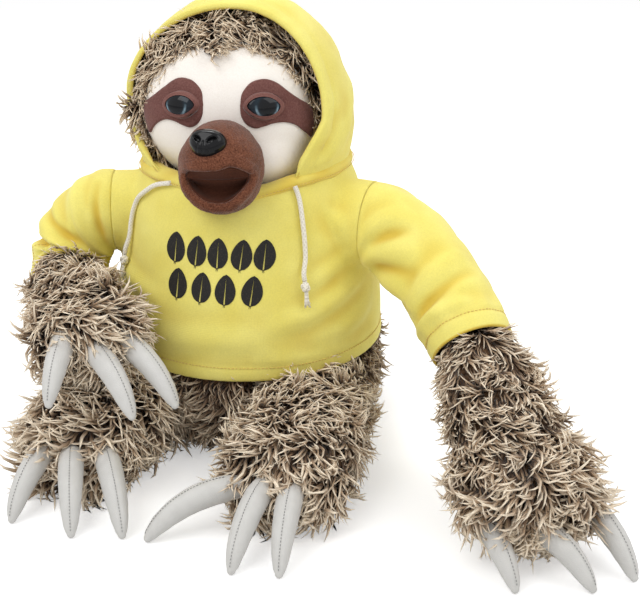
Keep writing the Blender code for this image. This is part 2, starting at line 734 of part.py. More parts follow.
def make_eye(side, word, head, face, patch):
    spot, normal, across, lift = eye_frame(side, patch_offsets()[1])
    base = spot + normal * SEAT_GAP
    half = (EYE_HALF_WIDTH, EYE_HALF_HEIGHT, EYE_BULGE)
    rings = shank_rings(base, normal, across, lift)
    rings += [
        dome_ring(base, normal, across, lift, half, math.pi / 2.0 * (1.0 - i / DOME_RINGS))
        for i in range(DOME_RINGS)
    ]
    rings.append([base + normal * EYE_BULGE])
    eye = rings_solid(f"eye_{word}", rings, "gloss_black")
    washer = washer_and_pocket(f"eye_{word}", base, normal, WASHER_RADIUS, [head, face, patch])
    lid = make_lid(word, base, normal, across, lift, half)
    return eye, washer, lid


def lid_opening(turn, width, height):
    """The dome angle at which the almond opening lies, for one way round the eye."""
    reach = 1.0 / math.hypot(math.cos(turn) / LID_OPEN_HALF_WIDTH, math.sin(turn) / LID_OPEN_HALF_HEIGHT)
    rim = 1.0 / math.hypot(math.cos(turn) / width, math.sin(turn) / height)
    return math.asin(reach / rim)


def make_lid(word, base, normal, across, lift, half):
    """A raised band over the dome's edge, from its rim to the almond opening."""
    rows = 2
    layers = []
    for offset in (FABRIC_GAP + LID_THICKNESS, FABRIC_GAP):
        width, height, bulge = (size + offset for size in half)
        rings = []
        for row in range(rows + 1):
            ring = []
            for i in range(EYE_STEPS):
                turn = 2.0 * math.pi * i / EYE_STEPS
                opening = lid_opening(turn, width, height)
                angle = math.pi / 2.0 + (opening - math.pi / 2.0) * row / rows
                flat = across * (width * math.cos(turn)) + lift * (height * math.sin(turn))
                ring.append(base + flat * math.sin(angle) + normal * (bulge * math.cos(angle)))
            rings.append(ring)
        layers.append(rings)
    outer, inner = layers
    return rings_solid(f"eyelid_{word}", outer + inner[::-1], "patch_plush", is_loop=True)


def hinge_line(angle, length, rise=0.0):
    """A (forward, height) point at an angle and a distance from the mouth's hinge."""
    a = math.radians(angle)
    return HINGE_FORWARD + length * math.cos(a), HINGE_HEIGHT + rise + length * math.sin(a)


def across_line(angle, length, offset, rise=0.0):
    """The same point moved square to its line, upward for a positive offset."""
    forward, height = hinge_line(angle, length, rise)
    a = math.radians(angle)
    return forward - offset * math.sin(a), height + offset * math.cos(a)


def slab_outline(angle, low, high, rise=0.0):
    return [
        across_line(angle, FOLD_RADIUS, low, rise), across_line(angle, MOUTH_REACH, low, rise),
        across_line(angle, MOUTH_REACH, high, rise), across_line(angle, FOLD_RADIUS, high, rise),
    ]


def make_snout():
    centre = Vector((MUZZLE_SIDE, -MUZZLE_FORWARD, MUZZLE_HEIGHT))
    half = (MUZZLE_HALF_WIDTH, MUZZLE_HALF_DEPTH, MUZZLE_HALF_HEIGHT)
    inner_half = [size - LIP_WIDTH for size in half]
    width = 2.0 * MUZZLE_HALF_WIDTH
    muzzle = ball("muzzle", centre, half, "muzzle_plush")
    jaw = ball("lower_jaw", centre, half, "muzzle_plush")
    palate = ball("palate", centre, inner_half, "lining")
    floor = ball("mouth_floor", centre, inner_half, "lining")

    reach = face_offsets()[1] + SEAT_GAP
    skull = ball("cut_face_room", Vector((HEAD_SIDE, 0.0, HEAD_CENTRE_HEIGHT)),
                 [size / math.cos(math.pi / CUT_STEPS) for size in head_surface(reach)],
                 "face_plush", CUT_STEPS // 2,
                 CUT_STEPS, is_cutter=True)
    room = [(radius + SWEAT_WALL + COLLAR_CLEARANCE, height) for radius, height in sweat_inner_profile()]
    room.append((room[-1][0], COLLAR_HEIGHT + COLLAR_CLEARANCE))
    collar = turned("cut_collar_room", room, "knit", CUT_STEPS, is_cutter=True)

    middle = (MOUTH_UPPER_ANGLE + MOUTH_REAR_ANGLE) / 2.0
    mouth = prism_across("cut_mouth", [
        hinge_line(MOUTH_UPPER_ANGLE, 0.0, MOUTH_RISE),
        hinge_line(MOUTH_UPPER_ANGLE, MOUTH_REACH, MOUTH_RISE),
        hinge_line(middle, MOUTH_REACH * WEDGE_CORNER_SHARE), hinge_line(MOUTH_REAR_ANGLE, MOUTH_REACH),
        hinge_line(MOUTH_REAR_ANGLE, 0.0),
    ], width, MUZZLE_SIDE)
    keep_jaw = prism_across("cut_jaw_sector", [
        hinge_line(MOUTH_LOWER_ANGLE, FOLD_RADIUS), hinge_line(MOUTH_LOWER_ANGLE, MOUTH_REACH),
        across_line(MOUTH_REAR_ANGLE, MOUTH_REACH, SEAT_GAP),
        across_line(MOUTH_REAR_ANGLE, FOLD_RADIUS, SEAT_GAP),
    ], width, MUZZLE_SIDE)
    roof = prism_across("cut_palate_slab", slab_outline(
        MOUTH_UPPER_ANGLE, -SEAT_GAP - LINING_THICKNESS, -SEAT_GAP, MOUTH_RISE), width, MUZZLE_SIDE)
    bed = prism_across("cut_floor_slab", slab_outline(
        MOUTH_LOWER_ANGLE, SEAT_GAP, SEAT_GAP + LINING_THICKNESS), width, MUZZLE_SIDE)
    combine(muzzle, mouth)
    combine(jaw, keep_jaw, "INTERSECT")
    combine(palate, roof, "INTERSECT")
    combine(floor, bed, "INTERSECT")
    for piece in (muzzle, palate):
        combine(piece, skull)
    for piece in (muzzle, jaw, floor):
        combine(piece, collar)
    return muzzle, jaw, palate, floor


def make_nose(muzzle):
    facing = direction(NOSE_HEADING, NOSE_PITCH)
    half = Vector((MUZZLE_HALF_WIDTH, MUZZLE_HALF_DEPTH, MUZZLE_HALF_HEIGHT))
    centre = Vector((MUZZLE_SIDE, -MUZZLE_FORWARD, MUZZLE_HEIGHT))
    stretch = math.sqrt(sum((facing[i] / half[i]) ** 2 for i in range(3)))
    base = centre + facing / stretch - facing * NOSE_SEAT
    across, lift = frame(facing)
    size = (NOSE_HALF_WIDTH, NOSE_HALF_HEIGHT, NOSE_BULGE)
    rings = shank_rings(base, facing, across, lift)
    rings += [
        dome_ring(base, facing, across, lift, size, math.pi / 2.0 * (1.0 - i / DOME_RINGS))
        for i in range(DOME_RINGS)
    ]
    rings.append([base + facing * NOSE_BULGE])
    nose = rings_solid("nose", rings, "gloss_black")
    for side, word in ((1, "left"), (-1, "right")):
        spot = base + across * (side * NOSTRIL_SPACING / 2.0) - lift * NOSTRIL_DROP
        depth = facing * (NOSE_BULGE - NOSTRIL_DEPTH)
        drill = cylinder(f"cut_nostril_{word}", spot + depth, spot + facing * (NOSE_BULGE + CUT_OVERRUN),
                         NOSTRIL_RADIUS, steps=CLAW_STEPS)
        combine(nose, drill)
    seat_rings = [
        oval(base + facing * along, across, lift, NOSE_HALF_WIDTH + SEAT_GAP,
             NOSE_HALF_HEIGHT + SEAT_GAP, EYE_STEPS)
        for along in (-SEAT_GAP, NOSE_BULGE)
    ]
    combine(muzzle, rings_solid("cut_nose_seat", seat_rings, "lining", is_cutter=True))
    washer = washer_and_pocket("nose", base, facing, NOSE_WASHER_RADIUS, [muzzle])
    return nose, washer


def make_hood():
    base = COLLAR_HEIGHT + SEAT_GAP
    rise = HOOD_TOP - base
    outer = [(COLLAR_RADIUS * radius, base + rise * share) for radius, share in HOOD_OUTLINE_SHARES]
    inner = [(radius - SWEAT_WALL, height - SWEAT_WALL * share)
             for (radius, height), (_, share) in zip(outer, HOOD_OUTLINE_SHARES)]
    profile = [(0.0, HOOD_TOP), *outer[::-1], *inner, (0.0, HOOD_TOP - SWEAT_WALL)]
    hood = turned("hood", profile, "knit")
    facing = Vector((0.0, -1.0, 0.0))
    side, lift = frame(facing)
    back = Vector((0.0, -HOOD_OPENING_BACK, HOOD_OPENING_HEIGHT))
    front = Vector((0.0, -2.0 * COLLAR_RADIUS, HOOD_OPENING_HEIGHT))
    opening = rings_solid("cut_hood_opening", [
        oval(spot, side, lift, HOOD_OPENING_HALF_WIDTH, HOOD_OPENING_HALF_HEIGHT, ROUND_STEPS)
        for spot in (back, front)
    ], "knit", is_cutter=True)
    combine(hood, opening)
    return hood


def arm_points(arm):
    """The upper arm's curve, the elbow's centre and the forearm's curve."""
    shoulder, facing = shoulder_frame(arm["side"])
    elbow = shoulder + direction(arm["upper_heading"], arm["upper_pitch"]) * arm["upper_length"]
    cuff_way = direction(arm["cuff_heading"], arm["cuff_pitch"])
    cuff = elbow - cuff_way * ELBOW_STANDOFF
    root = shoulder + facing * (SEAT_GAP / 2.0)
    upper = (root, root + facing * arm["root_handle"], cuff - cuff_way * arm["cuff_handle"], cuff)
    end = elbow + direction(arm["lower_heading"], arm["lower_pitch"]) * arm["lower_length"]
    paw_way = direction(arm["paw_heading"], arm["paw_pitch"])
    lower = (elbow, elbow + cuff_way * arm["cuff_handle"], end - paw_way * arm["paw_handle"], end)
    return upper, elbow, lower, facing, cuff_way


def arm_sections(upper, facing):
    """Centres and frames along the upper arm, without twist."""
    sections = []
    side, _ = frame(facing)
    for i in range(ARM_STATIONS + 1):
        share = i / ARM_STATIONS
        spot = bezier(*upper, share)
        way = bezier_slope(*upper, share)
        side = (side - way * side.dot(way)).normalized()
        sections.append((spot, way, side, way.cross(side), read_share(SLEEVE_RADIUS_SHARES, share)))
    return sections


def make_upper_arm(arm, word):
    upper, elbow, _, facing, cuff_way = arm_points(arm)
    sections = arm_sections(upper, facing)
    outer = []
    inner = []
    body = []
    for spot, _, side, lift, share in sections:
        radius = SLEEVE_RADIUS * share
        outer.append(oval(spot, side, lift, radius, radius, LIMB_STEPS))
        inner.append(oval(spot, side, lift, radius - SLEEVE_WALL, radius - SLEEVE_WALL, LIMB_STEPS))
        core = radius - SLEEVE_WALL - FABRIC_GAP
        body.append(oval(spot, side, lift, core, core, LIMB_STEPS))
    sleeve = rings_solid(f"sleeve_{word}", outer + inner[::-1], "knit", is_loop=True)
    cup = ELBOW_RADIUS / math.cos(math.pi / LIMB_STEPS) + SWEEP_GAP
    edge = math.acos(ELBOW_STANDOFF / cup)
    _, _, side, lift, _ = sections[-1]
    for i in range(BALL_RINGS):
        angle = edge * (1.0 - i / BALL_RINGS)
        centre = elbow - cuff_way * (cup * math.cos(angle))
        body.append(oval(centre, side, lift, cup * math.sin(angle), cup * math.sin(angle), LIMB_STEPS))
    body.append([elbow - cuff_way * cup])
    upper_arm = rings_solid(f"upper_arm_{word}", body, "long_pile")
    return upper_arm, sleeve


def limb_rings(curve, start_half, half, shares, rests_on_floor=False):
    """Rings of a furry limb: half a ball at its root, then widths and heights read from its shares."""
    start_way = bezier_slope(*curve, 0.0)
    side, lift = frame(start_way)
    root = curve[0]
    rings = [[root - start_way * start_half[0]]]
    for i in range(1, BALL_RINGS + 1):
        angle = math.pi / 2.0 * i / BALL_RINGS
        centre = root - start_way * (start_half[0] * math.cos(angle))
        rings.append(oval(centre, side, lift, start_half[0] * math.sin(angle),
                          start_half[1] * math.sin(angle), LIMB_STEPS))
    for share, width_share, height_share in shares:
        spot = bezier(*curve, share)
        way = bezier_slope(*curve, share)
        side, lift = frame(way)
        height = half[1] * height_share
        if rests_on_floor:
            spot = Vector((spot.x, spot.y, height - FLOOR_CUT))
        rings.append(oval(spot, side, lift, half[0] * width_share, height, LIMB_STEPS))
    if rests_on_floor:
        rings = [[Vector((v.x, v.y, max(v.z, 0.0))) for v in ring] for ring in rings]
    return rings


def claw_path(tip, heading, root_pitch, tip_pitch):
    """Places and directions along a claw that curls down from its root to its tip."""
    step = (CLAW_LENGTH + CLAW_ROOT) / CLAW_STATIONS
    ways = [
        direction(heading, root_pitch + (tip_pitch - root_pitch) * i / CLAW_STATIONS)
        for i in range(CLAW_STATIONS + 1)
    ]
    spots = [Vector(tip)]
    for way in reversed(ways[:-1]):
        spots.append(spots[-1] - way * step)
    return list(zip(reversed(spots), ways))


def claw_rings(path, grow=0.0, reach_share=1.0):
    """Rings along a claw. A grown claw is the cutter for its socket."""
    rings = []
    for i, (spot, way) in enumerate(path):
        share = i / CLAW_STATIONS
        if share > reach_share:
            break
        side, lift = frame(way)
        taper = 1.0 - share ** CLAW_TAPER_POWER
        width = CLAW_TIP_RADIUS + (CLAW_HALF_WIDTH - CLAW_TIP_RADIUS) * taper + grow
        depth = CLAW_TIP_RADIUS + (CLAW_HALF_DEPTH - CLAW_TIP_RADIUS) * taper + grow
        back = way * grow if i == 0 else Vector()
        rings.append(oval(spot - back, side, lift, width, depth, CLAW_STEPS))
    if reach_share == 1.0:
        cap = CLAW_TIP_RADIUS * CLAW_CAP_SHARE
        rings.append(oval(spot + way * cap, side, lift, cap, cap, CLAW_STEPS))
    return rings


def make_claws(limb, table, names):
    """Three claws set into sockets in a limb's end."""
    claws = []
    for values, name in zip(table, names):
        path = claw_path(*values)
        claws.append(rings_solid(name, claw_rings(path), "claw_cloth"))
        socket = claw_rings(path, SEAT_GAP, CLAW_SOCKET_REACH_SHARE)
        combine(limb, rings_solid(f"cut_{name}", socket, "claw_cloth", is_cutter=True))
    return claws


def make_forearm(arm, word, table):
    _, _, curve, _, _ = arm_points(arm)
    half = (arm["half_width"], arm["half_height"])
    rings = limb_rings(curve, (ELBOW_RADIUS, ELBOW_RADIUS), half, FOREARM_SHARES)
    forearm = rings_solid(f"forearm_{word}", rings, "long_pile")
    names = [f"{word}_hand_claw_{i}" for i in (1, 2, 3)]
    return forearm, make_claws(forearm, table, names)


def leg_curve(leg):
    hip = hip_point(leg["side"])
    end = hip + direction(leg["leg_heading"], 0.0) * leg["length"]
    return (hip, hip + direction(leg["hip_heading"], 0.0) * LEG_HANDLE,
            end - direction(leg["foot_heading"], 0.0) * LEG_HANDLE, end)


def make_leg(leg, word, table):
    curve = leg_curve(leg)
    half = (LEG_HALF_WIDTH, LEG_HALF_HEIGHT)
    rings = limb_rings(curve, half, half, LEG_SHARES, rests_on_floor=True)
    body = rings_solid(f"leg_{word}", rings, "long_pile")
    names = [f"{word}_foot_claw_{i}" for i in (1, 2, 3)]
    return body, make_claws(body, table, names)


def build():
    clear_scene()
    make_torso()
    make_sweat_body()
    make_string("left", LEFT_STRING_ROUTE)
    make_string("right", RIGHT_STRING_ROUTE)

    neck = pivot("pivot_head_turn", Vector((0.0, 0.0, TORSO_HEIGHT)))
    jaw_pivot = pivot("pivot_jaw_close", Vector((MUZZLE_SIDE, -HINGE_FORWARD, HINGE_HEIGHT)))
    head, wad = make_head()
    face = make_face()
    attach(neck, head, wad, face)
    for side, word in ((1, "left"), (-1, "right")):
        patch = make_patch(side, word)
        attach(neck, patch, *make_eye(side, word, head, face, patch))
    muzzle, jaw, palate, floor = make_snout()
    attach(neck, muzzle, palate, *make_nose(muzzle), make_hood())
    attach(jaw_pivot, jaw, floor)

    for arm, word, table in ((LEFT_ARM, "left", LEFT_HAND_CLAWS), (RIGHT_ARM, "right", RIGHT_HAND_CLAWS)):
        _, elbow, _, _, _ = arm_points(arm)
        attach(pivot(f"pivot_{word}_shoulder", shoulder_frame(arm["side"])[0]), *make_upper_arm(arm, word))
        forearm, claws = make_forearm(arm, word, table)
        attach(pivot(f"pivot_{word}_elbow", elbow), forearm, *claws)
    for leg, word, table in ((LEFT_LEG, "left", LEFT_FOOT_CLAWS), (RIGHT_LEG, "right", RIGHT_FOOT_CLAWS)):
        body, claws = make_leg(leg, word, table)
        attach(pivot(f"pivot_{word}_hip", hip_point(leg["side"])), body, *claws)


build()
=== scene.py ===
# A plush sloth in a hooded top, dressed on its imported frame. Units are metres.
import json
import math

import bmesh
import bpy
import numpy as np
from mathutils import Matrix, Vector, noise
from mathutils.bvhtree import BVHTree

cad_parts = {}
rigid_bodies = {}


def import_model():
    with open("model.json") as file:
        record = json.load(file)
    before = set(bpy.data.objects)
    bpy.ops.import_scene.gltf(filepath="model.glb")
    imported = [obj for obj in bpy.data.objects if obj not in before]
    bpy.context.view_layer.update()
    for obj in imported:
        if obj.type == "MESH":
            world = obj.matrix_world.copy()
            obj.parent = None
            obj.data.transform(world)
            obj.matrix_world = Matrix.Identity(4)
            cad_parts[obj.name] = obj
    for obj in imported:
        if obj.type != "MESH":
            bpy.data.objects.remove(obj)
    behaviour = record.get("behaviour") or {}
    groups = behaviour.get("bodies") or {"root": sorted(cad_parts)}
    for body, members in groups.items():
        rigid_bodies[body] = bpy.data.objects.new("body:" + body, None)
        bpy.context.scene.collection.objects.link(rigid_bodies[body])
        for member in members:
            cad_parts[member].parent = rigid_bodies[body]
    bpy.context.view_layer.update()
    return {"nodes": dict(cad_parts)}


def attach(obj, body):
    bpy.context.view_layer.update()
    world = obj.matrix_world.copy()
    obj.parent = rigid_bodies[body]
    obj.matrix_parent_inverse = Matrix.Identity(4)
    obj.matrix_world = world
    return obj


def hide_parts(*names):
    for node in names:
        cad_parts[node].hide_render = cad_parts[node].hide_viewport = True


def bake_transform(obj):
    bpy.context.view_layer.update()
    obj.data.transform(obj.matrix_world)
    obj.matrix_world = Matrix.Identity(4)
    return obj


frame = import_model()
scene = bpy.context.scene
upWay = Vector((0.0, 0.0, 1.0))
print("frame loaded:", len(frame["nodes"]), "nodes")


# ways, curves and small sums
def direction(heading, pitch):
    h, p = math.radians(heading), math.radians(pitch)
    return Vector((math.cos(p) * math.cos(h), math.cos(p) * math.sin(h), math.sin(p)))


def squareTo(way):
    side = upWay.cross(way).normalized()
    return side, way.cross(side).normalized()


def bezierSpot(p, t):
    s = 1.0 - t
    return p[0] * s ** 3 + p[1] * (3 * s * s * t) + p[2] * (3 * s * t * t) + p[3] * t ** 3


def bezierWay(p, t):
    s = 1.0 - t
    return ((p[1] - p[0]) * (s * s) + (p[2] - p[1]) * (2 * s * t) + (p[3] - p[2]) * (t * t)).normalized()


def throughPoints(route, steps):
    # a smooth curve through every point of a route
    spots = [Vector(p) for p in route]
    spots = [spots[0] * 2 - spots[1], *spots, spots[-1] * 2 - spots[-2]]
    made = []
    for a, b, c, d in zip(spots, spots[1:], spots[2:], spots[3:]):
        for i in range(steps):
            t = i / steps
            made.append((b * 2 + (c - a) * t + (a * 2 - b * 5 + c * 4 - d) * t * t
                         + (b * 3 - a - c * 3 + d) * t ** 3) / 2)
    return made + [spots[-2]]


def easeBetween(low, high, value):
    t = min(max((value - low) / (high - low), 0.0), 1.0)
    return t * t * (3 - 2 * t)


def smoothTable(table, value):
    # reads (position, value) pairs with a soft curve between them
    for (a, va), (b, vb) in zip(table, table[1:]):
        if value <= b:
            return va + (vb - va) * min(max((value - a) / (b - a), 0.0), 1.0)
    return table[-1][1]


# pieces
def meshPiece(name, points, faces, material=None, smooth=True):
    mesh = bpy.data.meshes.new(name)
    mesh.from_pydata([tuple(p) for p in points], [], faces)
    mesh.validate()
    piece = bpy.data.objects.new(name, mesh)
    scene.collection.objects.link(piece)
    if material:
        mesh.materials.append(material)
    if smooth:
        mesh.shade_smooth()
    return piece


def gridPiece(name, rows, material, isRound=True, uvSize=(1.0, 1.0), capEnds=(False, False)):
    # rows of points, joined to a tube or an open sheet, with a UV map in real lengths
    count = len(rows[0])
    points = [p for row in rows for p in row]
    faces, uvs = [], []
    spans = count if isRound else count - 1
    for i in range(len(rows) - 1):
        for j in range(spans):
            k = (j + 1) % count
            faces.append((i * count + j, i * count + k, (i + 1) * count + k, (i + 1) * count + j))
            for u, v in ((j, i), (j + 1, i), (j + 1, i + 1), (j, i + 1)):
                uvs.append((u / spans * uvSize[0], v / (len(rows) - 1) * uvSize[1]))
    for isCapped, row in zip(capEnds, (0, len(rows) - 1)):
        if isCapped:
            centre = sum(rows[row], Vector()) / count
            points.append(centre)
            for j in range(count):
                k = (j + 1) % count
                a, b = row * count + j, row * count + k
                faces.append((b, a, len(points) - 1) if row == 0 else (a, b, len(points) - 1))
                v = row / (len(rows) - 1) * uvSize[1]
                uvs += [(j / spans * uvSize[0], v)] * 3
    piece = meshPiece(name, points, faces, material)
    layer = piece.data.uv_layers.new(name="weave")
    layer.data.foreach_set("uv", [x for uv in uvs for x in uv])
    outwards(piece)
    return piece


def outwards(piece):
    # turns a mesh's faces to point out
    bm = bmesh.new()
    bm.from_mesh(piece.data)
    bmesh.ops.recalc_face_normals(bm, faces=bm.faces)
    bm.to_mesh(piece.data)
    bm.free()


def ringAt(centre, side, lift, width, height, steps, start=0.0):
    return [centre + side * (width * math.cos(start + math.tau * i / steps))
            + lift * (height * math.sin(start + math.tau * i / steps)) for i in range(steps)]


def tubeRows(points, radius, steps, twist=0.0):
    # rings along a path, carried on without twist
    rows, side = [], None
    for i, p in enumerate(points):
        way = (points[min(i + 1, len(points) - 1)] - points[max(i - 1, 0)]).normalized()
        if side is None:
            side = way.orthogonal().normalized()
        side = (side - way * side.dot(way)).normalized()
        size = radius(i / (len(points) - 1)) if callable(radius) else radius
        rows.append(ringAt(p, side, way.cross(side), size, size, steps, twist * i))
    return rows


def applied(piece):
    # puts the result of the modifiers into the mesh
    bpy.context.view_layer.update()
    made = bpy.data.meshes.new_from_object(piece.evaluated_get(bpy.context.evaluated_depsgraph_get()))
    piece.modifiers.clear()
    piece.data = made
    return piece


def nodeCopy(node, name, material=None):
    # a merged copy of a CAD node; the node's own mesh is left alone
    piece = bpy.data.objects.new(name, frame["nodes"][node].data.copy())
    scene.collection.objects.link(piece)
    bm = bmesh.new()
    bm.from_mesh(piece.data)
    bmesh.ops.remove_doubles(bm, verts=bm.verts, dist=1e-6)
    bmesh.ops.recalc_face_normals(bm, faces=bm.faces)
    bm.to_mesh(piece.data)
    bm.free()
    piece.data.materials.clear()
    if material:
        piece.data.materials.append(material)
    return piece


def softCopy(node, name, material, voxel, rounds, swell=0.0):
    # the same form with rounded edges, as stuffed cloth has
    piece = nodeCopy(node, name, material)
    remesh = piece.modifiers.new("round", "REMESH")
    remesh.mode = "VOXEL"
    remesh.voxel_size = voxel
    relax = piece.modifiers.new("relax", "SMOOTH")
    relax.factor = 0.5
    relax.iterations = rounds
    if swell:
        puff = piece.modifiers.new("puff", "DISPLACE")
        puff.strength = swell
        puff.mid_level = 0.0
    applied(piece)
    piece.data.shade_smooth()
    return piece


def settle(piece, body, slot, *nodes):
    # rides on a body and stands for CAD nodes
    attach(piece, body)
    if nodes:
        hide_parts(*nodes)
    return piece


def joined(name, parts):
    mesh = bpy.data.meshes.new(name)
    bm = bmesh.new()
    for part in parts:
        bm.from_mesh(part.data)
    bm.to_mesh(mesh)
    bm.free()
    for slot in parts[0].data.materials:
        mesh.materials.append(slot)
    piece = bpy.data.objects.new(name, mesh)
    scene.collection.objects.link(piece)
    for part in parts:
        bpy.data.objects.remove(part)
    mesh.shade_smooth()
    return piece


def coordsOf(piece):
    flat = np.zeros(len(piece.data.vertices) * 3)
    piece.data.vertices.foreach_get("co", flat)
    return flat.reshape(-1, 3)


def normalsOf(piece):
    flat = np.zeros(len(piece.data.vertices) * 3)
    piece.data.vertex_normals.foreach_get("vector", flat)
    return flat.reshape(-1, 3)


def setCoords(piece, coords):
    piece.data.vertices.foreach_set("co", np.ascontiguousarray(coords, dtype=np.float64).ravel())
    piece.data.update()


def pointValues(piece, name, values, kind="FLOAT"):
    layer = piece.data.attributes.new(name, kind, "POINT")
    layer.data.foreach_set("vector" if kind == "FLOAT_VECTOR" else "value", np.asarray(values, float).ravel())


# node trees
def put(tree, kind, inputs=None, **settings):
    made = tree.nodes.new(kind)
    for key, value in settings.items():
        setattr(made, key, value)
    for key, value in (inputs or {}).items():
        if isinstance(value, bpy.types.NodeSocket):
            tree.links.new(value, made.inputs[key])
        else:
            made.inputs[key].default_value = value
    return made


def sumOf(tree, how, *values, clamp=False):
    return put(tree, "ShaderNodeMath", dict(enumerate(values)), operation=how, use_clamp=clamp)


def spread(tree, value, low=0.0, high=1.0, toLow=0.0, toHigh=1.0):
    return put(tree, "ShaderNodeMapRange", {
        "Value": value, "From Min": low, "From Max": high, "To Min": toLow, "To Max": toHigh})


def noiseAt(tree, place, scale, detail=2.0):
    return put(tree, "ShaderNodeTexNoise", {"Vector": place, "Scale": scale, "Detail": detail})


def spotOf(tree):
    return put(tree, "ShaderNodeTexCoord").outputs["Object"]


def startTree(name, sockets):
    tree = bpy.data.node_groups.new(name, "GeometryNodeTree")
    for socket, kind in sockets.items():
        tree.interface.new_socket(socket, in_out="INPUT", socket_type=f"NodeSocket{kind}")
    tree.interface.new_socket("Geometry", in_out="OUTPUT", socket_type="NodeSocketGeometry")
    return tree, put(tree, "NodeGroupInput").outputs


def endTree(tree, geometry, material):
    dyed = put(tree, "GeometryNodeSetMaterial", {"Geometry": geometry, "Material": material})
    put(tree, "NodeGroupOutput", {0: dyed.outputs[0]})
    return tree


def startMaterial(name, **values):
    material = bpy.data.materials.new(name)
    material.use_nodes = True
    tree = material.node_tree
    shader = tree.nodes["Principled BSDF"]
    for key, value in values.items():
        shader.inputs[key.replace("_", " ")].default_value = value
    return material, tree, shader


def ramp(tree, source, stops):
    made = put(tree, "ShaderNodeValToRGB", {0: source})
    band = made.color_ramp
    while len(band.elements) < len(stops):
        band.elements.new(0.5)
    for element, (place, colour) in zip(band.elements, stops):
        element.position = place
        element.color = (*colour, 1.0)
    return made.outputs["Color"]


def blendColours(tree, factor, first, second, how="MIX"):
    made = put(tree, "ShaderNodeMix", {0: factor}, data_type="RGBA", blend_type=how)
    for socket, value in ((made.inputs[6], first), (made.inputs[7], second)):
        if isinstance(value, bpy.types.NodeSocket):
            tree.links.new(value, socket)
        else:
            socket.default_value = (*value, 1.0)
    return made.outputs[2]


def addBump(tree, shader, height, strength, distance):
    bump = put(tree, "ShaderNodeBump", {"Height": height, "Strength": strength, "Distance": distance})
    tree.links.new(bump.outputs["Normal"], shader.inputs["Normal"])


# the crease colour is painted shade, laid into fold hollows and onto the cloth's hidden inner sides
clothLook = {
    "light": (0.88, 0.79, 0.215), "wash": (0.83, 0.725, 0.165), "paintedShade": (0.72, 0.49, 0.05),
    "roughness": 0.92, "sheen": 0.20, "ribScale": 330.0, "ribDepth": 0.00012,
}


def knitCloth(name, look):
    # sweatshirt knit: fine ribs along the UV map, a soft wash of tones, and painted shade in a deeper orange yellow
    # in creases and on hidden inner sides
    material, tree, shader = startMaterial(name, Roughness=look["roughness"], Sheen_Weight=look["sheen"],
                                           Sheen_Roughness=0.5, Specular_IOR_Level=0.15)
    place = spotOf(tree)
    weave = put(tree, "ShaderNodeUVMap", uv_map="weave").outputs["UV"]
    broad = noiseAt(tree, place, 34.0, 3.0)
    fine = noiseAt(tree, place, 900.0)
    tone = spread(tree, broad.outputs["Fac"], 0.35, 0.65)
    base = blendColours(tree, tone.outputs["Result"], look["wash"], look["light"])
    fleck = spread(tree, fine.outputs["Fac"], 0.3, 0.7, 0.95, 1.03)
    grey = put(tree, "ShaderNodeCombineColor",
               {0: fleck.outputs[0], 1: fleck.outputs[0], 2: fleck.outputs[0]})
    base = blendColours(tree, 1.0, base, grey.outputs["Color"], "MULTIPLY")
    # painted shade: a point attribute gives how much of the darker crease colour is mixed in
    fold = put(tree, "ShaderNodeAttribute", attribute_name="paintedShade").outputs["Fac"]
    base = blendColours(tree, fold, base, look["paintedShade"])
    tree.links.new(base, shader.inputs["Base Color"])
    ribs = put(tree, "ShaderNodeTexWave", {"Vector": weave, "Scale": look["ribScale"], "Distortion": 0.6,
                                           "Detail Scale": 2.0}, bands_direction="X")
    courses = put(tree, "ShaderNodeTexWave", {"Vector": weave, "Scale": look["ribScale"] * 0.8,
                                              "Distortion": 0.8}, bands_direction="Y")
    knit = sumOf(tree, "MULTIPLY", ribs.outputs["Fac"], courses.outputs["Fac"])
    rough = sumOf(tree, "ADD", knit.outputs[0], fine.outputs["Fac"])
    addBump(tree, shader, rough.outputs[0], 0.5, look["ribDepth"])
    return material


def shortPlush(name, colour, deep, grain=700.0, depth=0.0006, sheen=0.5, soft=0.25):
    # close pile: mottled at two scales, with a pale bloom at the edges
    material, tree, shader = startMaterial(name, Roughness=0.95, Sheen_Weight=sheen, Sheen_Roughness=0.35,
                                           Specular_IOR_Level=0.1)
    place = spotOf(tree)
    patchy = noiseAt(tree, place, 110.0, 4.0)
    tufts = put(tree, "ShaderNodeTexNoise",
                {"Vector": place, "Scale": grain, "Detail": 3.0, "Roughness": 0.7})
    both = sumOf(tree, "MULTIPLY_ADD", patchy.outputs["Fac"], 0.25, tufts.outputs["Fac"])
    tone = spread(tree, both.outputs[0], 0.625 - soft, 0.625 + soft)
    tree.links.new(blendColours(tree, tone.outputs["Result"], deep, colour), shader.inputs["Base Color"])
    addBump(tree, shader, both.outputs[0], 0.7, depth)
    return material


# root and low are painted shade down in the pile; mid and tip are the pile's own colours
furLook = {
    "root": (0.028, 0.014, 0.007), "low": (0.12, 0.068, 0.037), "mid": (0.45, 0.315, 0.20),
    "tip": (0.96, 0.83, 0.65), "roughness": 0.7,
}


def longPile(name, look):
    # each lock darkens to its root, as painted shade deep in the pile; the map's U holds the lock's tone and V runs
    # from root to tip
    material, tree, shader = startMaterial(name, Roughness=look["roughness"], Specular_IOR_Level=0.3,
                                           Sheen_Weight=0.15)
    uv = put(tree, "ShaderNodeUVMap", uv_map="OFBake").outputs["UV"]
    axes = put(tree, "ShaderNodeSeparateXYZ", {0: uv})
    shift = spread(tree, axes.outputs["X"], 0.0, 1.0, -0.20, 0.16)
    along = sumOf(tree, "ADD", axes.outputs["Y"], shift.outputs[0])
    colour = ramp(tree, along.outputs[0], ((0.0, look["root"]), (0.20, look["low"]), (0.42, look["mid"]),
                                           (0.74, look["tip"])))
    tree.links.new(colour, shader.inputs["Base Color"])
    place = spotOf(tree)
    hairs = noiseAt(tree, place, 1500.0)
    addBump(tree, shader, hairs.outputs["Fac"], 0.4, 0.0003)
    return material


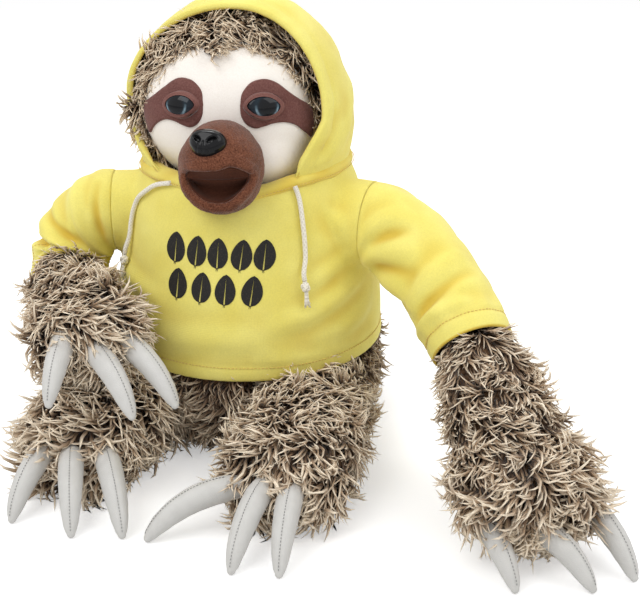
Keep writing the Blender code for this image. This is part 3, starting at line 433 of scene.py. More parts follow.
def shadedBacking(name, look):
    # the brown ground cloth that shows between the locks, darkened to the pile's root colours as painted shade down
    # in the pile
    material, tree, shader = startMaterial(name, Roughness=0.95, Specular_IOR_Level=0.1)
    place = spotOf(tree)
    tufts = noiseAt(tree, place, 420.0, 4.0)
    tone = spread(tree, tufts.outputs["Fac"], 0.35, 0.7)
    tree.links.new(blendColours(tree, tone.outputs[0], look["root"], look["low"]),
                   shader.inputs["Base Color"])
    addBump(tree, shader, tufts.outputs["Fac"], 0.8, 0.001)
    return material


def glossBlack(name, tint, roughness):
    # moulded plastic with faint dust and handling marks
    material, tree, shader = startMaterial(name, Specular_IOR_Level=0.18, Coat_Weight=0.08,
                                           Coat_Roughness=0.04)
    place = spotOf(tree)
    dust = noiseAt(tree, place, 260.0, 5.0)
    tree.links.new(blendColours(tree, dust.outputs["Fac"], (0.004, 0.004, 0.005), tint),
                   shader.inputs["Base Color"])
    worn = spread(tree, dust.outputs["Fac"], 0.0, 1.0, roughness, roughness + 0.07)
    tree.links.new(worn.outputs[0], shader.inputs["Roughness"])
    return material


def irisPlastic(name):
    # a dark pupil in a navy ring, with pale blue-grey crescents low on both sides as painted reflections
    material, tree, shader = startMaterial(name, Roughness=0.06, Specular_IOR_Level=0.20, Coat_Weight=0.08,
                                           Coat_Roughness=0.03)
    across = put(tree, "ShaderNodeAttribute", attribute_name="eyeAcross").outputs["Fac"]
    rise = put(tree, "ShaderNodeAttribute", attribute_name="eyeRise").outputs["Fac"]
    flat = put(tree, "ShaderNodeCombineXYZ", {0: across, 1: rise})
    reach = put(tree, "ShaderNodeVectorMath", {0: flat.outputs[0]}, operation="LENGTH").outputs["Value"]
    rays = noiseAt(tree, flat.outputs[0], 9.0, 3.0)
    dark = ramp(tree, reach, ((0.0, (0.004, 0.004, 0.005)), (0.40, (0.005, 0.006, 0.008)),
                              (0.56, (0.010, 0.020, 0.030)), (0.80, (0.006, 0.010, 0.016)),
                              (1.0, (0.003, 0.004, 0.006))))
    # painted reflection: a pale ring, kept to the lower sides and broken into streaks
    pale = ramp(tree, reach, ((0.50, (0, 0, 0)), (0.60, (0.9, 0.9, 0.9)), (0.66, (0, 0, 0))))
    low = spread(tree, rise, 0.12, -0.18)
    wide = sumOf(tree, "ABSOLUTE", across)
    sides = spread(tree, wide.outputs[0], 0.20, 0.42)
    crescentReflection = sumOf(tree, "MULTIPLY", low.outputs[0], sides.outputs[0])
    crescentReflection = sumOf(tree, "MULTIPLY", crescentReflection.outputs[0], rays.outputs["Fac"])
    crescentReflection = sumOf(tree, "MULTIPLY", crescentReflection.outputs[0], pale)
    tree.links.new(blendColours(tree, crescentReflection.outputs[0], dark, (0.50, 0.72, 0.85)), shader.inputs["Base Color"])
    return material


def coatedCloth(name, light, shade):
    # pale grey coated fabric with a fine leather grain
    material, tree, shader = startMaterial(name, Specular_IOR_Level=0.35)
    place = spotOf(tree)
    grain = put(tree, "ShaderNodeTexVoronoi", {"Vector": place, "Scale": 900.0}, feature="DISTANCE_TO_EDGE")
    cloudy = noiseAt(tree, place, 130.0, 4.0)
    tree.links.new(blendColours(tree, cloudy.outputs["Fac"], shade, light), shader.inputs["Base Color"])
    worn = spread(tree, cloudy.outputs["Fac"], 0.0, 1.0, 0.42, 0.70)
    tree.links.new(worn.outputs[0], shader.inputs["Roughness"])
    addBump(tree, shader, grain.outputs["Distance"], 0.45, 0.0004)
    return material


def braidedCord(name, pale, shade):
    # strands that cross over each other along the cord's own map
    material, tree, shader = startMaterial(name, Roughness=0.9, Sheen_Weight=0.3, Specular_IOR_Level=0.1)
    weave = put(tree, "ShaderNodeUVMap", uv_map="weave").outputs["UV"]
    turned = put(tree, "ShaderNodeMapping", {"Vector": weave, "Rotation": (0.0, 0.0, 0.8)})
    back = put(tree, "ShaderNodeMapping", {"Vector": weave, "Rotation": (0.0, 0.0, -0.8)})
    first = put(tree, "ShaderNodeTexWave", {"Vector": turned.outputs[0], "Scale": 170.0})
    second = put(tree, "ShaderNodeTexWave", {"Vector": back.outputs[0], "Scale": 170.0})
    over = sumOf(tree, "MAXIMUM", first.outputs["Fac"], second.outputs["Fac"])
    tree.links.new(blendColours(tree, over.outputs[0], shade, pale), shader.inputs["Base Color"])
    addBump(tree, shader, over.outputs[0], 0.8, 0.0004)
    return material


def sewingThread(name, colour, deep):
    material, tree, shader = startMaterial(name, Roughness=0.7, Sheen_Weight=0.3)
    place = spotOf(tree)
    ply = noiseAt(tree, place, 2500.0)
    tree.links.new(blendColours(tree, ply.outputs["Fac"], deep, colour), shader.inputs["Base Color"])
    addBump(tree, shader, ply.outputs["Fac"], 0.5, 0.0001)
    return material


def screenInk(name):
    # dense black ink that takes the knit's texture, worn thin in specks
    material, tree, shader = startMaterial(name, Roughness=0.62, Specular_IOR_Level=0.3)
    place = spotOf(tree)
    knit = noiseAt(tree, place, 1100.0)
    tone = spread(tree, knit.outputs["Fac"], 0.55, 0.85)
    tree.links.new(blendColours(tree, tone.outputs[0], (0.012, 0.011, 0.010), (0.06, 0.05, 0.03)),
                   shader.inputs["Base Color"])
    addBump(tree, shader, knit.outputs["Fac"], 0.5, 0.0003)
    return material


clothYellow = knitCloth("yellowKnit", clothLook)
furBrown = longPile("curlyPile", furLook)
# a darker copy of the pile as painted shadow on the fur under the top's hem
furHemShadow = longPile("curlyPileHemShadow", {**furLook, "mid": (0.34, 0.235, 0.15), "tip": (0.68, 0.56, 0.42)})
furRing = longPile("curlyPileHead", {**furLook, "tip": (0.93, 0.79, 0.60)})
backingShade = shadedBacking("pileBackingShade", furLook)
creamPlush = shortPlush("creamPlush", (0.98, 0.935, 0.875), (0.92, 0.86, 0.79), 800.0, 0.0003, 0.3)
maroonPlush = shortPlush("maroonPlush", (0.215, 0.098, 0.085), (0.125, 0.050, 0.043), 900.0, 0.0006, 0.3, 0.2)
# the lid plush is a lighter copy of the patch colour: partly its own colour, partly a painted highlight along the
# lid's ridge
lidPlush = shortPlush("lidPlush", (0.245, 0.115, 0.098), (0.165, 0.070, 0.060), 1100.0, 0.0003, 0.2)
snoutPlush = shortPlush("snoutPlush", (0.250, 0.095, 0.053), (0.080, 0.027, 0.015), 1000.0, 0.0012, 0.30,
                        0.15)
mouthLining = shortPlush("mouthLining", (0.105, 0.038, 0.022), (0.056, 0.019, 0.011), 900.0, 0.0003, 0.1)
noseGloss = glossBlack("noseGloss", (0.007, 0.007, 0.008), 0.07)
clawCloth = coatedCloth("clawCloth", (0.66, 0.65, 0.625), (0.56, 0.55, 0.525))
cordCream = braidedCord("cordCream", (0.93, 0.89, 0.79), (0.76, 0.70, 0.58))
threadYellow = sewingThread("threadYellow", (0.80, 0.58, 0.14), (0.62, 0.40, 0.07))
threadGrey = sewingThread("threadGrey", (0.26, 0.26, 0.25), (0.15, 0.15, 0.14))
inkBlack = screenInk("inkBlack")
irisGloss = irisPlastic("irisGloss")
print("materials made")


# camera, as the photograph was taken
cameraView = {"place": (0.1995, -0.8253, 0.4272), "tilt": 68.0, "turn": 10.0, "lens": 67.5}
lens = bpy.data.cameras.new("camera")
lens.lens = cameraView["lens"]
lens.sensor_width = 36.0
camera = bpy.data.objects.new("camera", lens)
camera.location = cameraView["place"]
camera.rotation_euler = (math.radians(cameraView["tilt"]), 0.0, math.radians(cameraView["turn"]))
scene.collection.objects.link(camera)
scene.camera = camera


# drawstrings: out of the collar, over the chest, each with a knot and a frayed end
drawstring = {
    "diameter": 0.0034, "sides": 12, "steps": 6,
    "left": ((0.0475, -0.0609, 0.1945), (0.0495, -0.0620, 0.1900), (0.0515, -0.0639, 0.1840),
             (0.0535, -0.0664, 0.1736), (0.0555, -0.0692, 0.1600), (0.0565, -0.0717, 0.1475),
             (0.0563, -0.0763, 0.1385), (0.0570, -0.0772, 0.1330)),
    "right": ((-0.0370, -0.0678, 0.1945), (-0.0500, -0.0613, 0.1905), (-0.0595, -0.0566, 0.1840),
              (-0.0669, -0.0513, 0.1770), (-0.0712, -0.0498, 0.1680), (-0.0733, -0.0504, 0.1590),
              (-0.0745, -0.0522, 0.1490), (-0.0770, -0.0549, 0.1405), (-0.0777, -0.0554, 0.1363)),
    "knotRise": 0.0042, "knotRadius": 0.0022, "knotCord": 0.00155, "knotSquash": 0.62, "knotWave": 0.0017,
    "knotLobe": 0.35, "knotSteps": 40, "knotGap": 0.0004, "stem": 0.0034, "frayStart": 0.0030, "tail": 0.0120,
    "threads": 14, "thread": 0.0005,
}


def pathLength(points):
    return sum((b - a).length for a, b in zip(points, points[1:]))


def makeDrawstring(word, v):
    points = throughPoints(v[word], v["steps"])
    length = pathLength(points)
    size = (v["diameter"] * math.pi, length)
    cord = gridPiece(f"drawstring{word.capitalize()}", tubeRows(points, v["diameter"] / 2, v["sides"]),
                     cordCream, uvSize=size, capEnds=(True, True))
    # the knot is a small three-crossing loop pulled tight
    hang = (points[-1] - points[-2]).normalized()
    side, lift = squareTo(hang)
    top = points[-1] + hang * v["knotGap"]
    middle = top + hang * v["knotRise"]
    loop = []
    for i in range(v["knotSteps"]):
        a = math.tau * i / v["knotSteps"]
        reach = v["knotRadius"] * (1.0 + v["knotLobe"] * math.cos(3 * a)) * v["knotSquash"]
        loop.append(middle + side * (reach * math.cos(2 * a)) + lift * (reach * math.sin(2 * a))
                    + hang * (v["knotWave"] * math.sin(3 * a)))
    rows = tubeRows(loop + loop[:1], v["knotCord"], 10)
    parts = [gridPiece("knotLoop", rows, cordCream, uvSize=(0.010, 0.030))]
    stem = [top, middle + hang * v["stem"]]
    parts.append(gridPiece("knotStem", tubeRows(stem, v["knotCord"], 10), cordCream, uvSize=(0.010, 0.008),
                           capEnds=(True, True)))
    rng = np.random.default_rng(7)
    start = middle + hang * v["frayStart"]
    for i in range(v["threads"]):
        a = math.tau * i / v["threads"]
        out = side * math.cos(a) + lift * math.sin(a)
        spread = 0.0006 + 0.0011 * rng.random()
        long = v["tail"] * (0.72 + 0.28 * rng.random())
        strand = [start + out * (0.0007 + spread * t * t) + hang * (long * t)
                  + side * (0.0005 * math.sin(5 * t + i)) for t in (0.0, 0.25, 0.5, 0.75, 1.0)]
        parts.append(gridPiece("strand", tubeRows(strand, lambda t: v["thread"] * (1 - 0.5 * t), 6),
                               cordCream, uvSize=(0.003, long), capEnds=(True, True)))
    knot = joined(f"knot{word.capitalize()}", parts)
    settle(cord, "torso", f"drawstring_{word}", f"drawstring_{word}")
    settle(knot, "torso", f"knot_{word}", f"knot_{word}")
    return length


for word in ("left", "right"):
    print("drawstring", word, round(makeDrawstring(word, drawstring), 4))


# folds: ridges and hollows along short routes, pressed into a cloth's surface
def foldDepth(coords, folds):
    # each fold is (route, height, width); its height fades towards both ends
    depth = np.zeros(len(coords))
    for route, height, width in folds:
        spots = np.array([tuple(p) for p in throughPoints(route, 5)])
        best = np.full(len(coords), 1e9)
        share = np.zeros(len(coords))
        for i, (a, b) in enumerate(zip(spots, spots[1:])):
            run = b - a
            t = np.clip(((coords - a) @ run) / (run @ run), 0, 1)
            gap = np.linalg.norm(coords - (a + t[:, None] * run), axis=1)
            near = gap < best
            best = np.where(near, gap, best)
            share = np.where(near, (i + t) / (len(spots) - 1), share)
        fade = np.sin(np.pi * np.clip(0.06 + 0.88 * share, 0, 1)) ** 0.8
        ridge = np.exp(-(best / width) ** 2) - 0.40 * np.exp(-((best - 1.8 * width) / width) ** 2)
        depth += height * fade * ridge
    return depth


def softWaves(coords, amount, size, seed):
    shift = Vector((seed * 3.1, seed * 1.7, seed * 2.3))
    return np.array([amount * noise.noise(Vector((p[0] / size, p[1] / size, p[2] / size * 1.8)) + shift)
                     for p in coords])


def paintCreaseShade(piece, depth, scale, extra=0.0):
    # painted shade: the deeper a fold's hollow, the more crease colour it gets
    pointValues(piece, "paintedShade", np.clip(-depth / scale, 0, 1) * 0.75 + extra)


def giveWall(piece, thickness):
    wall = piece.modifiers.new("wall", "SOLIDIFY")
    wall.thickness = thickness
    wall.offset = -1.0
    return wall


# stitches: thread dashes along a path, by Geometry Nodes
def dashTree():
    tree, given = startTree("stitchRow", {"Geometry": "Geometry", "Spacing": "Float", "Length": "Float",
                                          "Radius": "Float", "Thread": "Material"})
    line = put(tree, "GeometryNodeMeshToCurve", {"Mesh": given["Geometry"]})
    spaced = put(tree, "GeometryNodeResampleCurve", {"Curve": line.outputs[0], "Length": given["Spacing"]},
                 mode="LENGTH")
    way = put(tree, "GeometryNodeInputTangent")
    turn = put(tree, "FunctionNodeAlignRotationToVector", {"Vector": way.outputs[0]}, axis="Z")
    dash = put(tree, "GeometryNodeMeshCylinder", {
        "Vertices": 6, "Side Segments": 2, "Radius": given["Radius"], "Depth": given["Length"]})
    dashes = put(tree, "GeometryNodeInstanceOnPoints", {
        "Points": spaced.outputs[0], "Instance": dash.outputs[0], "Rotation": turn.outputs[0]})
    real = put(tree, "GeometryNodeRealizeInstances", {0: dashes.outputs[0]})
    return endTree(tree, real.outputs[0], given["Thread"])


def useTree(piece, tree, values):
    # sets each input by its socket's identifier, then keeps the plain mesh
    step = piece.modifiers.new("nodes", "NODES")
    step.node_group = tree
    for item in tree.interface.items_tree:
        if item.item_type == "SOCKET" and item.in_out == "INPUT" and item.name in values:
            step[item.identifier] = values[item.name]
    return applied(piece)


stitchTree = dashTree()


def stitchRow(name, runs, thread, body, slot, spacing=0.0026, length=0.0016, radius=0.00028):
    points, edges = [], []
    for run in runs:
        edges += [(len(points) + i, len(points) + i + 1) for i in range(len(run) - 1)]
        points += run
    mesh = bpy.data.meshes.new(name)
    mesh.from_pydata([tuple(p) for p in points], edges, [])
    piece = bpy.data.objects.new(name, mesh)
    scene.collection.objects.link(piece)
    useTree(piece, stitchTree, {"Spacing": spacing, "Length": length, "Radius": radius, "Thread": thread})
    piece.data.shade_smooth()
    settle(piece, body, slot)
    return piece


# the top's body: a bell of cloth with short armhole stubs, open at hem and collar
top = {
    "outline": ((0.0600, 0.0998), (0.0645, 0.0998), (0.0820, 0.0996), (0.1000, 0.0986), (0.1180, 0.0956),
                (0.1290, 0.0927), (0.1460, 0.0891), (0.1650, 0.0851), (0.1820, 0.0803), (0.1900, 0.0768),
                (0.1975, 0.0738), (0.2050, 0.0700)),
    "hem": 0.0645, "collar": 0.1972, "shoulderReach": 0.0965, "shoulderRise": 0.1580, "shoulderTurn": 12.0,
    "voxel": 0.0026, "wall": 0.0018, "roll": 0.0016,
}
topFolds = (
    # from the armpit on the wide side, across the chest
    (((0.090, -0.035, 0.140), (0.078, -0.056, 0.136), (0.060, -0.074, 0.128)), 0.0033, 0.0055),
    (((0.094, -0.030, 0.124), (0.083, -0.052, 0.117), (0.062, -0.075, 0.108), (0.040, -0.088, 0.103)), 0.0027,
     0.0065),
    (((0.096, -0.020, 0.104), (0.088, -0.046, 0.094), (0.068, -0.073, 0.087)), 0.0024, 0.0070),
    (((0.070, -0.052, 0.178), (0.076, -0.045, 0.162), (0.082, -0.042, 0.146)), 0.0030, 0.0050),
    # low across the belly and at the other side
    (((-0.085, -0.045, 0.128), (-0.068, -0.066, 0.120), (-0.048, -0.081, 0.117)), 0.0024, 0.0060),
    (((-0.070, -0.070, 0.096), (-0.040, -0.089, 0.090), (0.000, -0.098, 0.092), (0.045, -0.088, 0.088)),
     0.0015, 0.0080),
    (((0.030, -0.094, 0.078), (0.060, -0.079, 0.074), (0.085, -0.052, 0.077)), 0.0018, 0.0060),
    # behind
    (((0.080, 0.045, 0.150), (0.045, 0.075, 0.140), (0.000, 0.090, 0.137), (-0.050, 0.074, 0.142)), 0.0027,
     0.0080),
    (((-0.088, 0.040, 0.120), (-0.050, 0.083, 0.110), (0.000, 0.098, 0.107)), 0.0024, 0.0080),
    (((0.090, 0.035, 0.118), (0.060, 0.076, 0.104), (0.020, 0.096, 0.096)), 0.0024, 0.0070),
)


def shoulderOf(side):
    heading = -top["shoulderTurn"] if side > 0 else 180 + top["shoulderTurn"]
    facing = direction(heading, 0.0)
    return facing * top["shoulderReach"] + upWay * top["shoulderRise"], facing


def makeTopBody(v):
    # a solid bell and two arm stubs, melted into one skin
    steps = 96
    parts = []
    rows = [ringAt(Vector((0, 0, z)), Vector((1, 0, 0)), Vector((0, 1, 0)), r, r, steps)
            for z, r in v["outline"]]
    parts.append(gridPiece("bell", rows, clothYellow, capEnds=(True, True)))
    for side in (1, -1):
        spot, facing = shoulderOf(side)
        across, lift = squareTo(facing)
        rows = [ringAt(spot + facing * d, across, lift, r, r, 48)
                for d, r in ((-0.055, 0.0285), (-0.030, 0.0290), (-0.010, 0.0300), (0.0, 0.0298),
                             (0.012, 0.0296))]
        parts.append(gridPiece("stub", rows, clothYellow, capEnds=(True, True)))
    piece = joined("topBody", parts)
    remesh = piece.modifiers.new("melt", "REMESH")
    remesh.mode = "VOXEL"
    remesh.voxel_size = v["voxel"]
    relax = piece.modifiers.new("relax", "SMOOTH")
    relax.factor = 0.5
    relax.iterations = 10
    applied(piece)
    bm = bmesh.new()
    bm.from_mesh(piece.data)

    def slice(spot, facing, test):
        faces = [f for f in bm.faces if test(f.calc_center_median())]
        bordering, touching = {e for f in faces for e in f.edges}, {w for f in faces for w in f.verts}
        geometry = list(bordering) + list(touching) + faces
        bmesh.ops.bisect_plane(bm, geom=geometry, plane_co=spot, plane_no=facing, clear_outer=True, dist=1e-6)

    slice(Vector((0, 0, v["collar"])), upWay, lambda p: True)
    slice(Vector((0, 0, v["hem"])), -upWay, lambda p: True)
    for side in (1, -1):
        spot, facing = shoulderOf(side)
        slice(spot, facing, lambda p, s=side: p.x * s > 0.05 and p.z > 0.119)
    bm.to_mesh(piece.data)
    bm.free()
    return piece


def neckDrop(coords):
    # the neck line lies lower on the side of the raised arm and sags under the chin
    sag = np.exp(-((coords[:, 0] - 0.012) / 0.030) ** 2) * np.clip(-coords[:, 1] / 0.03, 0, 1)
    return 0.0034 * np.clip(-coords[:, 0] / 0.07, 0, 1) + 0.0085 * sag


def rollEdge(piece, test, inward, radius, depth):
    # turns a cloth's open edge in on itself, as a hem is
    bm = bmesh.new()
    bm.from_mesh(piece.data)
    edges = [e for e in bm.edges if e.is_boundary and all(test(w.co) for w in e.verts)]
    for drop, inset in ((0.4, 0.15), (0.9, 0.6), (1.1, 1.2), (0.6, 1.9), (-1.5, 2.1), (-depth / radius, 2.1)):
        grown = bmesh.ops.extrude_edge_only(bm, edges=edges)["geom"]
        if drop == 0.4:
            base = {w: w.co.copy() for w in grown if isinstance(w, bmesh.types.BMVert)}
            last = (0.0, 0.0)
        for w in [g for g in grown if isinstance(g, bmesh.types.BMVert)]:
            way, down = inward(w.co)
            w.co += way * ((inset - last[1]) * radius) + down * ((drop - last[0]) * radius)
        edges = [g for g in grown if isinstance(g, bmesh.types.BMEdge)]
        last = (drop, inset)
    bmesh.ops.recalc_face_normals(bm, faces=bm.faces)
    bm.to_mesh(piece.data)
    bm.free()


def roundMap(piece, radius):
    # a map that runs round the body and up it, in real lengths
    mesh = piece.data
    layer = mesh.uv_layers.new(name="weave")
    for face in mesh.polygons:
        turns = [math.atan2(mesh.vertices[i].co.x, -mesh.vertices[i].co.y) for i in face.vertices]
        for loop, i, turn in zip(face.loop_indices, face.vertices, turns):
            if turns[0] - turn > math.pi:
                turn += math.tau
            elif turn - turns[0] > math.pi:
                turn -= math.tau
            layer.data[loop].uv = (turn * radius, mesh.vertices[i].co.z)


topBody = makeTopBody(top)
spots = coordsOf(topBody)
depth = foldDepth(spots, topFolds) + softWaves(spots, 0.0007, 0.030, 1)
edgeFade = np.clip((spots[:, 2] - top["hem"]) / 0.010, 0.25, 1)
edgeFade = edgeFade * np.clip((top["collar"] - spots[:, 2]) / 0.008, 0, 1)
for side in (1, -1):
    spot, facing = shoulderOf(side)
    ahead = (spots - np.array(spot)) @ np.array(facing)
    near = (ahead > -0.012) & (spots[:, 0] * side > 0.05) & (spots[:, 2] > 0.119)
    edgeFade = np.where(near, np.clip(-ahead / 0.012, 0, 1), edgeFade)
depth = depth * edgeFade
band = np.exp(-((spots[:, 2] - top["hem"] - 0.0085) / 0.0016) ** 2)
shape = depth - 0.0007 * band + 0.0004 * (spots[:, 2] < top["hem"] + 0.008)
spots = spots + normalsOf(topBody) * shape[:, None]
spots[:, 2] -= neckDrop(spots) * np.clip((spots[:, 2] - 0.170) / 0.027, 0, 1) ** 2
setCoords(topBody, spots)
# painted shade in the hollows of the folds
paintCreaseShade(topBody, depth, 0.0030)
rollEdge(topBody, lambda p: p.z < top["hem"] + 0.001,
         lambda p: (Vector((-p.x, -p.y, 0)).normalized(), -upWay), top["roll"], 0.007)
roundMap(topBody, 0.095)
giveWall(topBody, top["wall"])
topBody.data.shade_smooth()
settle(topBody, "torso", "hoodie_body", "hoodie_body")
print("top's body made:", len(topBody.data.vertices), "points")

clothTree = BVHTree.FromObject(topBody, bpy.context.evaluated_depsgraph_get())


def onCloth(x, z, lift=0.0003):
    # the point of the chest's cloth straight behind a place in the front view
    spot, normal, _, _ = clothTree.ray_cast(Vector((x, -0.3, z)), Vector((0, 1, 0)))
    return (spot + normal * lift) if spot else None


def roundCloth(angle, z, lift=0.0003):
    way = Vector((math.sin(angle), -math.cos(angle), 0.0))
    spot, normal, _, _ = clothTree.ray_cast(way * 0.3 + upWay * z, -way)
    return spot + normal * lift


hemRun = [roundCloth(math.tau * i / 240, top["hem"] + 0.0085) for i in range(241)]
stitchRow("hemStitches", [hemRun], threadYellow, "torso", "hoodie_body")


# sleeves: tubes that gather above a turned cuff
sleeves = {
    "left": {
        "side": 1, "root": 0.032, "heading": -45.4, "pitch": -28.5, "length": 0.1363,
        "cuffHeading": -60.0, "cuffPitch": -36.0, "cuffHandle": 0.040, "sag": 0.002, "relax": 6,
        "folds": (
            # (share along, angle, share along, angle, height, width); 90 is up and 180 to the front
            (0.03, 235, 0.26, 120, 0.0036, 0.0068), (0.05, 250, 0.46, 150, 0.0042, 0.0072),
            (0.10, 262, 0.66, 185, 0.0038, 0.0076), (0.04, 242, 0.36, 132, -0.0022, 0.0036),
            (0.08, 256, 0.56, 165, -0.0022, 0.0038), (0.16, 268, 0.74, 205, -0.0018, 0.0036),
            (0.60, 95, 0.72, 215, 0.0030, 0.0062), (0.70, 85, 0.80, 225, -0.0020, 0.0036),
            (0.80, 250, 0.86, 120, 0.0034, 0.0052), (0.88, 110, 0.915, 220, -0.0020, 0.0022),
            (0.05, 60, 0.30, -10, 0.0028, 0.0070), (0.35, 50, 0.60, -40, 0.0026, 0.0070),
            (0.70, 40, 0.84, -60, 0.0028, 0.0056), (0.12, -60, 0.60, -80, 0.0026, 0.0065),
        ),
    },
    "right": {
        "side": -1, "root": 0.033, "heading": 236.7, "pitch": -47.0, "length": 0.067,
        "cuffHeading": -70.0, "cuffPitch": -12.0, "cuffHandle": 0.026, "sag": 0.003, "relax": 40,
        "folds": (
            # here 0 is to the front and 90 up
            (0.16, 95, 0.30, -70, 0.0042, 0.0060), (0.38, 95, 0.44, -70, -0.0026, 0.0032),
            (0.46, 110, 0.56, -60, 0.0040, 0.0050), (0.59, 115, 0.62, -75, -0.0052, 0.0026),
            (0.67, 110, 0.72, -50, 0.0026, 0.0050), (0.80, 40, 0.78, -70, -0.0022, 0.0030),
            (0.06, 60, 0.14, -60, -0.0026, 0.0026), (0.22, 40, 0.42, -40, -0.0020, 0.0022),
            (0.05, 110, 0.30, 190, 0.0028, 0.0060), (0.30, -100, 0.80, -160, 0.0028, 0.0060),
            (0.45, 150, 0.75, 200, 0.0026, 0.0060),
        ),
    },
    "standoff": 0.0140, "radius": 0.0293, "around": 84, "along": 76, "wall": 0.0018,
    "cuffLip": ((0.0009, 0.0003), (0.0016, 0.0011), (0.0012, 0.0022), (-0.002, 0.0026), (-0.010, 0.0027)),
    "turnIn": 0.014, "wave": (0.0009, 0.022), "groove": 0.0010, "grooveWidth": 0.0014, "ripple": 0.0006,
    "ripples": 11, "rippleWidth": 0.007, "stitchSteps": 120, "stitchReach": 0.033, "stitchRise": 0.0003,
    "cuffBand": 0.011,
    "shares": ((0.0, 1.0), (0.12, 1.0), (0.35, 1.02), (0.60, 1.0), (0.82, 1.0), (0.93, 0.985), (1.0, 0.955)),
}


def sleeveCurve(v):
    spot, facing = shoulderOf(v["side"])
    elbow = spot + direction(v["heading"], v["pitch"]) * v["length"]
    cuffWay = direction(v["cuffHeading"], v["cuffPitch"])
    cuff = elbow - cuffWay * sleeves["standoff"]
    return (spot, spot + facing * v["root"], cuff - cuffWay * v["cuffHandle"], cuff), facing, cuffWay


def makeSleeve(word):
    v, common = sleeves[word], sleeves
    curve, facing, cuffWay = sleeveCurve(v)
    side, _ = squareTo(facing)
    centres, frames = [], []
    for i in range(common["along"] + 1):
        t = i / common["along"]
        way = bezierWay(curve, t)
        side = (side - way * side.dot(way)).normalized()
        spot = bezierSpot(curve, t) - upWay * (v["sag"] * math.sin(math.pi * t) ** 2)
        centres.append(spot)
        frames.append((way, side, way.cross(side)))

    def surface(t, angle):
        i = min(max(t, 0.0), 1.0) * common["along"]
        k = min(int(i), common["along"] - 1)
        centre = centres[k].lerp(centres[k + 1], i - k)
        _, across, lift = frames[k]
        r = common["radius"] * smoothTable(common["shares"], t)
        return centre + across * (r * math.cos(angle)) + lift * (r * math.sin(angle))

    rows = []
    for i in range(common["along"] + 1):
        t = i / common["along"]
        row = [surface(t, math.tau * j / common["around"]) for j in range(common["around"])]
        if i == 0:  # the seam allowance dips into the armhole
            row = [p.lerp(centres[0], 0.03) for p in row]
        rows.append(row)
    grid = np.array([[tuple(p) for p in row] for row in rows])
    for _ in range(v["relax"]):
        near = (np.roll(grid, 1, 1) + np.roll(grid, -1, 1))[1:-1] + grid[2:] + grid[:-2]
        order = np.arange(1, len(grid) - 1)
        share = np.clip((order - 8) / 10, 0, 0.8) * np.clip((len(grid) - 5 - order) / 8, 0, 1)
        grid[1:-1] += (near / 4 - grid[1:-1]) * share[:, None, None]
    rows = [[Vector(p) for p in row] for row in grid]
    way, across, lift = frames[-1]
    edge = common["radius"] * common["shares"][-1][1]
    for drop, inset in common["cuffLip"]:
        rows.append(ringAt(centres[-1] + way * drop, across, lift, edge - inset, edge - inset,
                           common["around"]))
    length = pathLength(centres)
    piece = gridPiece(f"sleeve{word.capitalize()}", rows, clothYellow,
                      uvSize=(math.tau * common["radius"], length + common["turnIn"]))
    coords = coordsOf(piece)
    routes = []
    for t0, a0, t1, a1, height, width in v["folds"]:
        route = [surface(t0 + (t1 - t0) * k / 4, math.radians(a0 + (a1 - a0) * k / 4)) for k in range(5)]
        routes.append((route, height, width))
    depth = foldDepth(coords, routes) + softWaves(coords, *common["wave"], 4 + v["side"])
    count = common["around"]
    step = np.minimum(np.arange(len(coords)) // count, common["along"]) / common["along"]
    inner = np.arange(len(coords)) >= (common["along"] + 1) * count
    bandStart = 1 - common["cuffBand"] / length
    fade = np.clip(step / 0.06, 0, 1) * np.clip((bandStart - step) / 0.10 + 0.12, 0.12, 1)
    fade = np.where(inner, 0.1, fade)
    groove = np.exp(-((step - bandStart) * length / common["grooveWidth"]) ** 2) * ~inner
    ripple = np.cos(np.arange(len(coords)) % count / count * math.tau * common["ripples"] + 0.8)
    ripple = ripple * common["ripple"]
    ripple = ripple * np.exp(-((step - bandStart + 0.05) * length / common["rippleWidth"]) ** 2) * ~inner
    shape = depth * fade - groove * common["groove"] + ripple
    setCoords(piece, coords + normalsOf(piece) * shape[:, None])
    # painted shade in the fold hollows and the cuff's stitch groove, and a flat painted shade on the turned-in cuff
    # lip
    paintCreaseShade(piece, depth * fade - groove * 0.0006, 0.0030, 0.0)
    layer = piece.data.attributes["paintedShade"].data
    for i in np.nonzero(inner)[0]:
        layer[int(i)].value = 0.8
    body = f"{word}_upper_arm"
    giveWall(piece, common["wall"])
    settle(piece, body, f"sleeve_{word}", f"sleeve_{word}")
    tree = BVHTree.FromObject(piece, bpy.context.evaluated_depsgraph_get())
    run = []
    way, across, lift = frames[-1]
    centre = centres[-1] - way * common["cuffBand"]
    for j in range(common["stitchSteps"] + 1):
        angle = math.tau * j / common["stitchSteps"]
        out = across * math.cos(angle) + lift * math.sin(angle)
        spot, normal, _, _ = tree.ray_cast(centre + out * common["stitchReach"], -out)
        run.append(spot + out * common["stitchRise"])
    stitchRow(f"cuffStitches{word.capitalize()}", [run], threadYellow, body, f"sleeve_{word}")
    return piece


for word in ("left", "right"):
    makeSleeve(word)
print("sleeves made")


# upper arms inside the sleeves
for word in ("left", "right"):
    inner = softCopy(f"upper_arm_{word}", f"armPad{word.capitalize()}", backingShade, 0.003, 3, -0.0065)
    settle(inner, f"{word}_upper_arm", f"upper_arm_{word}", f"upper_arm_{word}")


